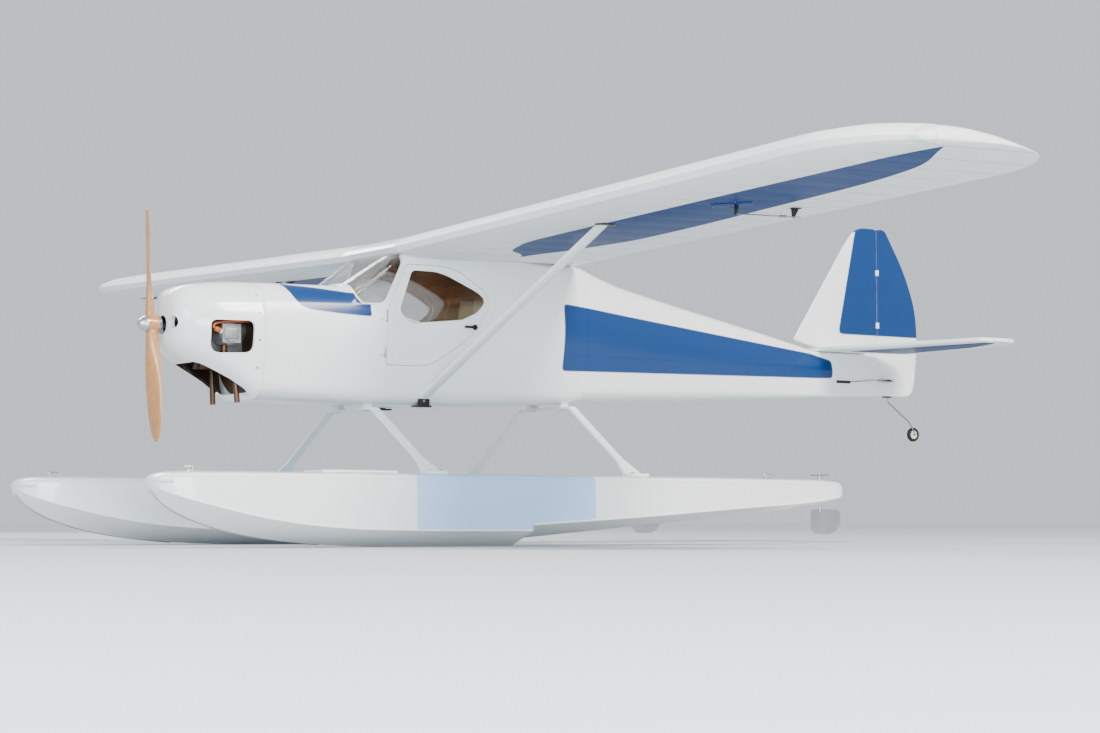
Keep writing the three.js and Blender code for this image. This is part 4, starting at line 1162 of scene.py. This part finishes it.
def rod_exit(name, station, z, side, reach):
    """A moulded guide where a push rod leaves the body. Gives its place."""
    spot = on_side(station, z, side)
    finish(plate_on(spot, 0.003, reach, 0.0008, 0.0014, 0.0010, 3, math.pi / 2), name, BLACK_NYLON)
    return spot[0]


def tail_details():
    place = rod_exit("rudder_rod_exit", 1.528, 0.3285, 1, 0.020)
    plate = cut_sheet([(at(station), y, 0.3335) for station, y in RUDDER_HORN], (0, 0, 0.0022), 0.0005)
    finish(plate, "rudder_horn", BLACK_NYLON, "rudder")
    start = place + Vector((-0.012, -0.002, 0.0005))
    link("rudder_rod", start, (at(1.6475), 0.0235, 0.3346), AFT, UP, 0.019)
    place = rod_exit("elevator_rod_exit", 1.500, 0.352, -1, 0.018)
    horn("elevator_horn", ELEVATOR_HORN_PLACE, "elevator")
    start = place + Vector((-0.010, 0.002, 0.0005))
    link("elevator_rod", start, ELEVATOR_HORN_PLACE + HORN_PIN_DROP, AFT, PORTWARD, 0.014)
    for i, z in enumerate((0.345, 0.45, 0.56)):
        pin = rod((RUDDER_HINGE_X, 0, z - 0.006), (RUDDER_HINGE_X, 0, z + 0.006), 0.0054, 20, 0.0006)
        finish(pin, f"rudder_hinge_{i}", WHITE_TRIM, "rudder")
    for i, y in enumerate((-0.33, -0.2, -0.08, 0.08, 0.2, 0.33)):
        strap = block((at(1.584), y, 0.3973), (0.004, 0.007, 0.0003), 0.0002)
        finish(strap, f"elevator_hinge_{i}", WHITE_TRIM)


TAIL_AXLE = (at(1.734), 0, 0.225)
TYRE_HALF = mm([(-3, 8.8), (-4.2, 10), (-4.5, 12.2), (-3.4, 14.1), (-1.4, 14.9)])
HUB_HALF = mm([(-3.2, 1.9), (-3.6, 4.2), (-2, 6), (-2.4, 9)])


def tail_wheel_details():
    tyre = turned(both_ways(TYRE_HALF, [(0, 0.0150)]), TAIL_AXLE, PORTWARD, 48)
    finish(tyre, "tail_tyre", RUBBER, "tail_wheel", 60)
    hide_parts("tail_wheel")
    hub = turned(both_ways(HUB_HALF), TAIL_AXLE, PORTWARD)
    finish(hub, "tail_wheel_hub", CERAMIC, "tail_wheel")
    bracket = block((at(1.662), 0, 0.30195), (0.010, 0.004, 0.00145), 0.0006)
    finish(bracket, "tail_wheel_bracket", BLACK_STEEL, "rudder")


pane_edging()
each_side(door_fittings)
cowl_screws()
each_side(cowl_lips)
inside()
padded_seat("seat_cushion", "seat_pad")
padded_seat("seat_back", "back_pad")
each_side(engine_details)
propeller_details()
each_side(strut_fittings)
leg_fittings()
each_side(float_details)
each_side(water_rudder_details)
each_side(wing_details)
tail_details()
tail_wheel_details()


# Floor, light and camera

LIGHTS = [  # name, place, aim, width, power, tint
    ("key", (-0.9, 4.6, 4.4), (0, 0, 0.3), 2.4, 620, "#fff7ec"),
    ("fill", (4.2, 2.4, 1.6), (0.2, 0, 0.3), 2.4, 170, "#eef4ff"),
    ("back", (0.5, -4.4, 3.6), (0, 0, 0.3), 2.6, 220, "#ffffff"),
    ("low", (2.0, 4.4, 0.4), (0, 0.3, 0.45), 1.8, 120, "#ffffff"),
]
CAMERA_AZIMUTH, CAMERA_DISTANCE, CAMERA_HEIGHT = math.radians(146.4), 4.5, 0.04
CAMERA_AIM = (-0.005, 0.003, 0.335)


def aimed(holder, place, aim):
    holder.location = place
    holder.rotation_euler = (Vector(aim) - Vector(place)).to_track_quat("-Z", "Y").to_euler()
    return holder


def light(name, place, aim, width, power, tint):
    lamp = bpy.data.lights.new(name, "AREA")
    lamp.shape = "RECTANGLE"
    lamp.size, lamp.size_y = width, width * 0.7
    lamp.energy = power
    lamp.color = colour(tint)[:3]
    aimed(linked(name, lamp), place, aim)


def studio():
    """A pale floor that fades into a paler distance, an even sky, four soft lights."""
    bpy.ops.mesh.primitive_plane_add(size=200)
    floor = bpy.context.object
    floor.name = "floor"
    made, tree, shader = new_finish("pale floor")
    vector, (x, y, _) = places(tree)
    near = blended(tree, noise(tree, vector, 3, 3) * 0.3, "#bcc1c5", "#b2b8bd")
    far = ((x * x + y * y).math("SQRT") - 6).edge(9)
    feed(tree, shader, {"Base Color": blended(tree, far, near, "#f6f8fa"), "Roughness": 0.7})
    floor.data.materials.append(made)
    world = bpy.context.scene.world or bpy.data.worlds.new("studio")
    bpy.context.scene.world = world
    world.use_nodes = True
    sky = world.node_tree.nodes["Background"].inputs
    feed(world.node_tree, sky, {"Color": "#dfe5ec", "Strength": 1.05})
    for row in LIGHTS:
        light(*row)


def camera():
    """Floor level, from the photo's side: ahead of the port wing."""
    place = (
        math.sin(CAMERA_AZIMUTH) * CAMERA_DISTANCE, -math.cos(CAMERA_AZIMUTH) * CAMERA_DISTANCE, CAMERA_HEIGHT
    )
    lens = bpy.data.cameras.new("view")
    lens.lens = 78
    lens.sensor_width = 36
    bpy.context.scene.camera = aimed(linked("view", lens), place, CAMERA_AIM)


studio()
camera()

clear_choice()
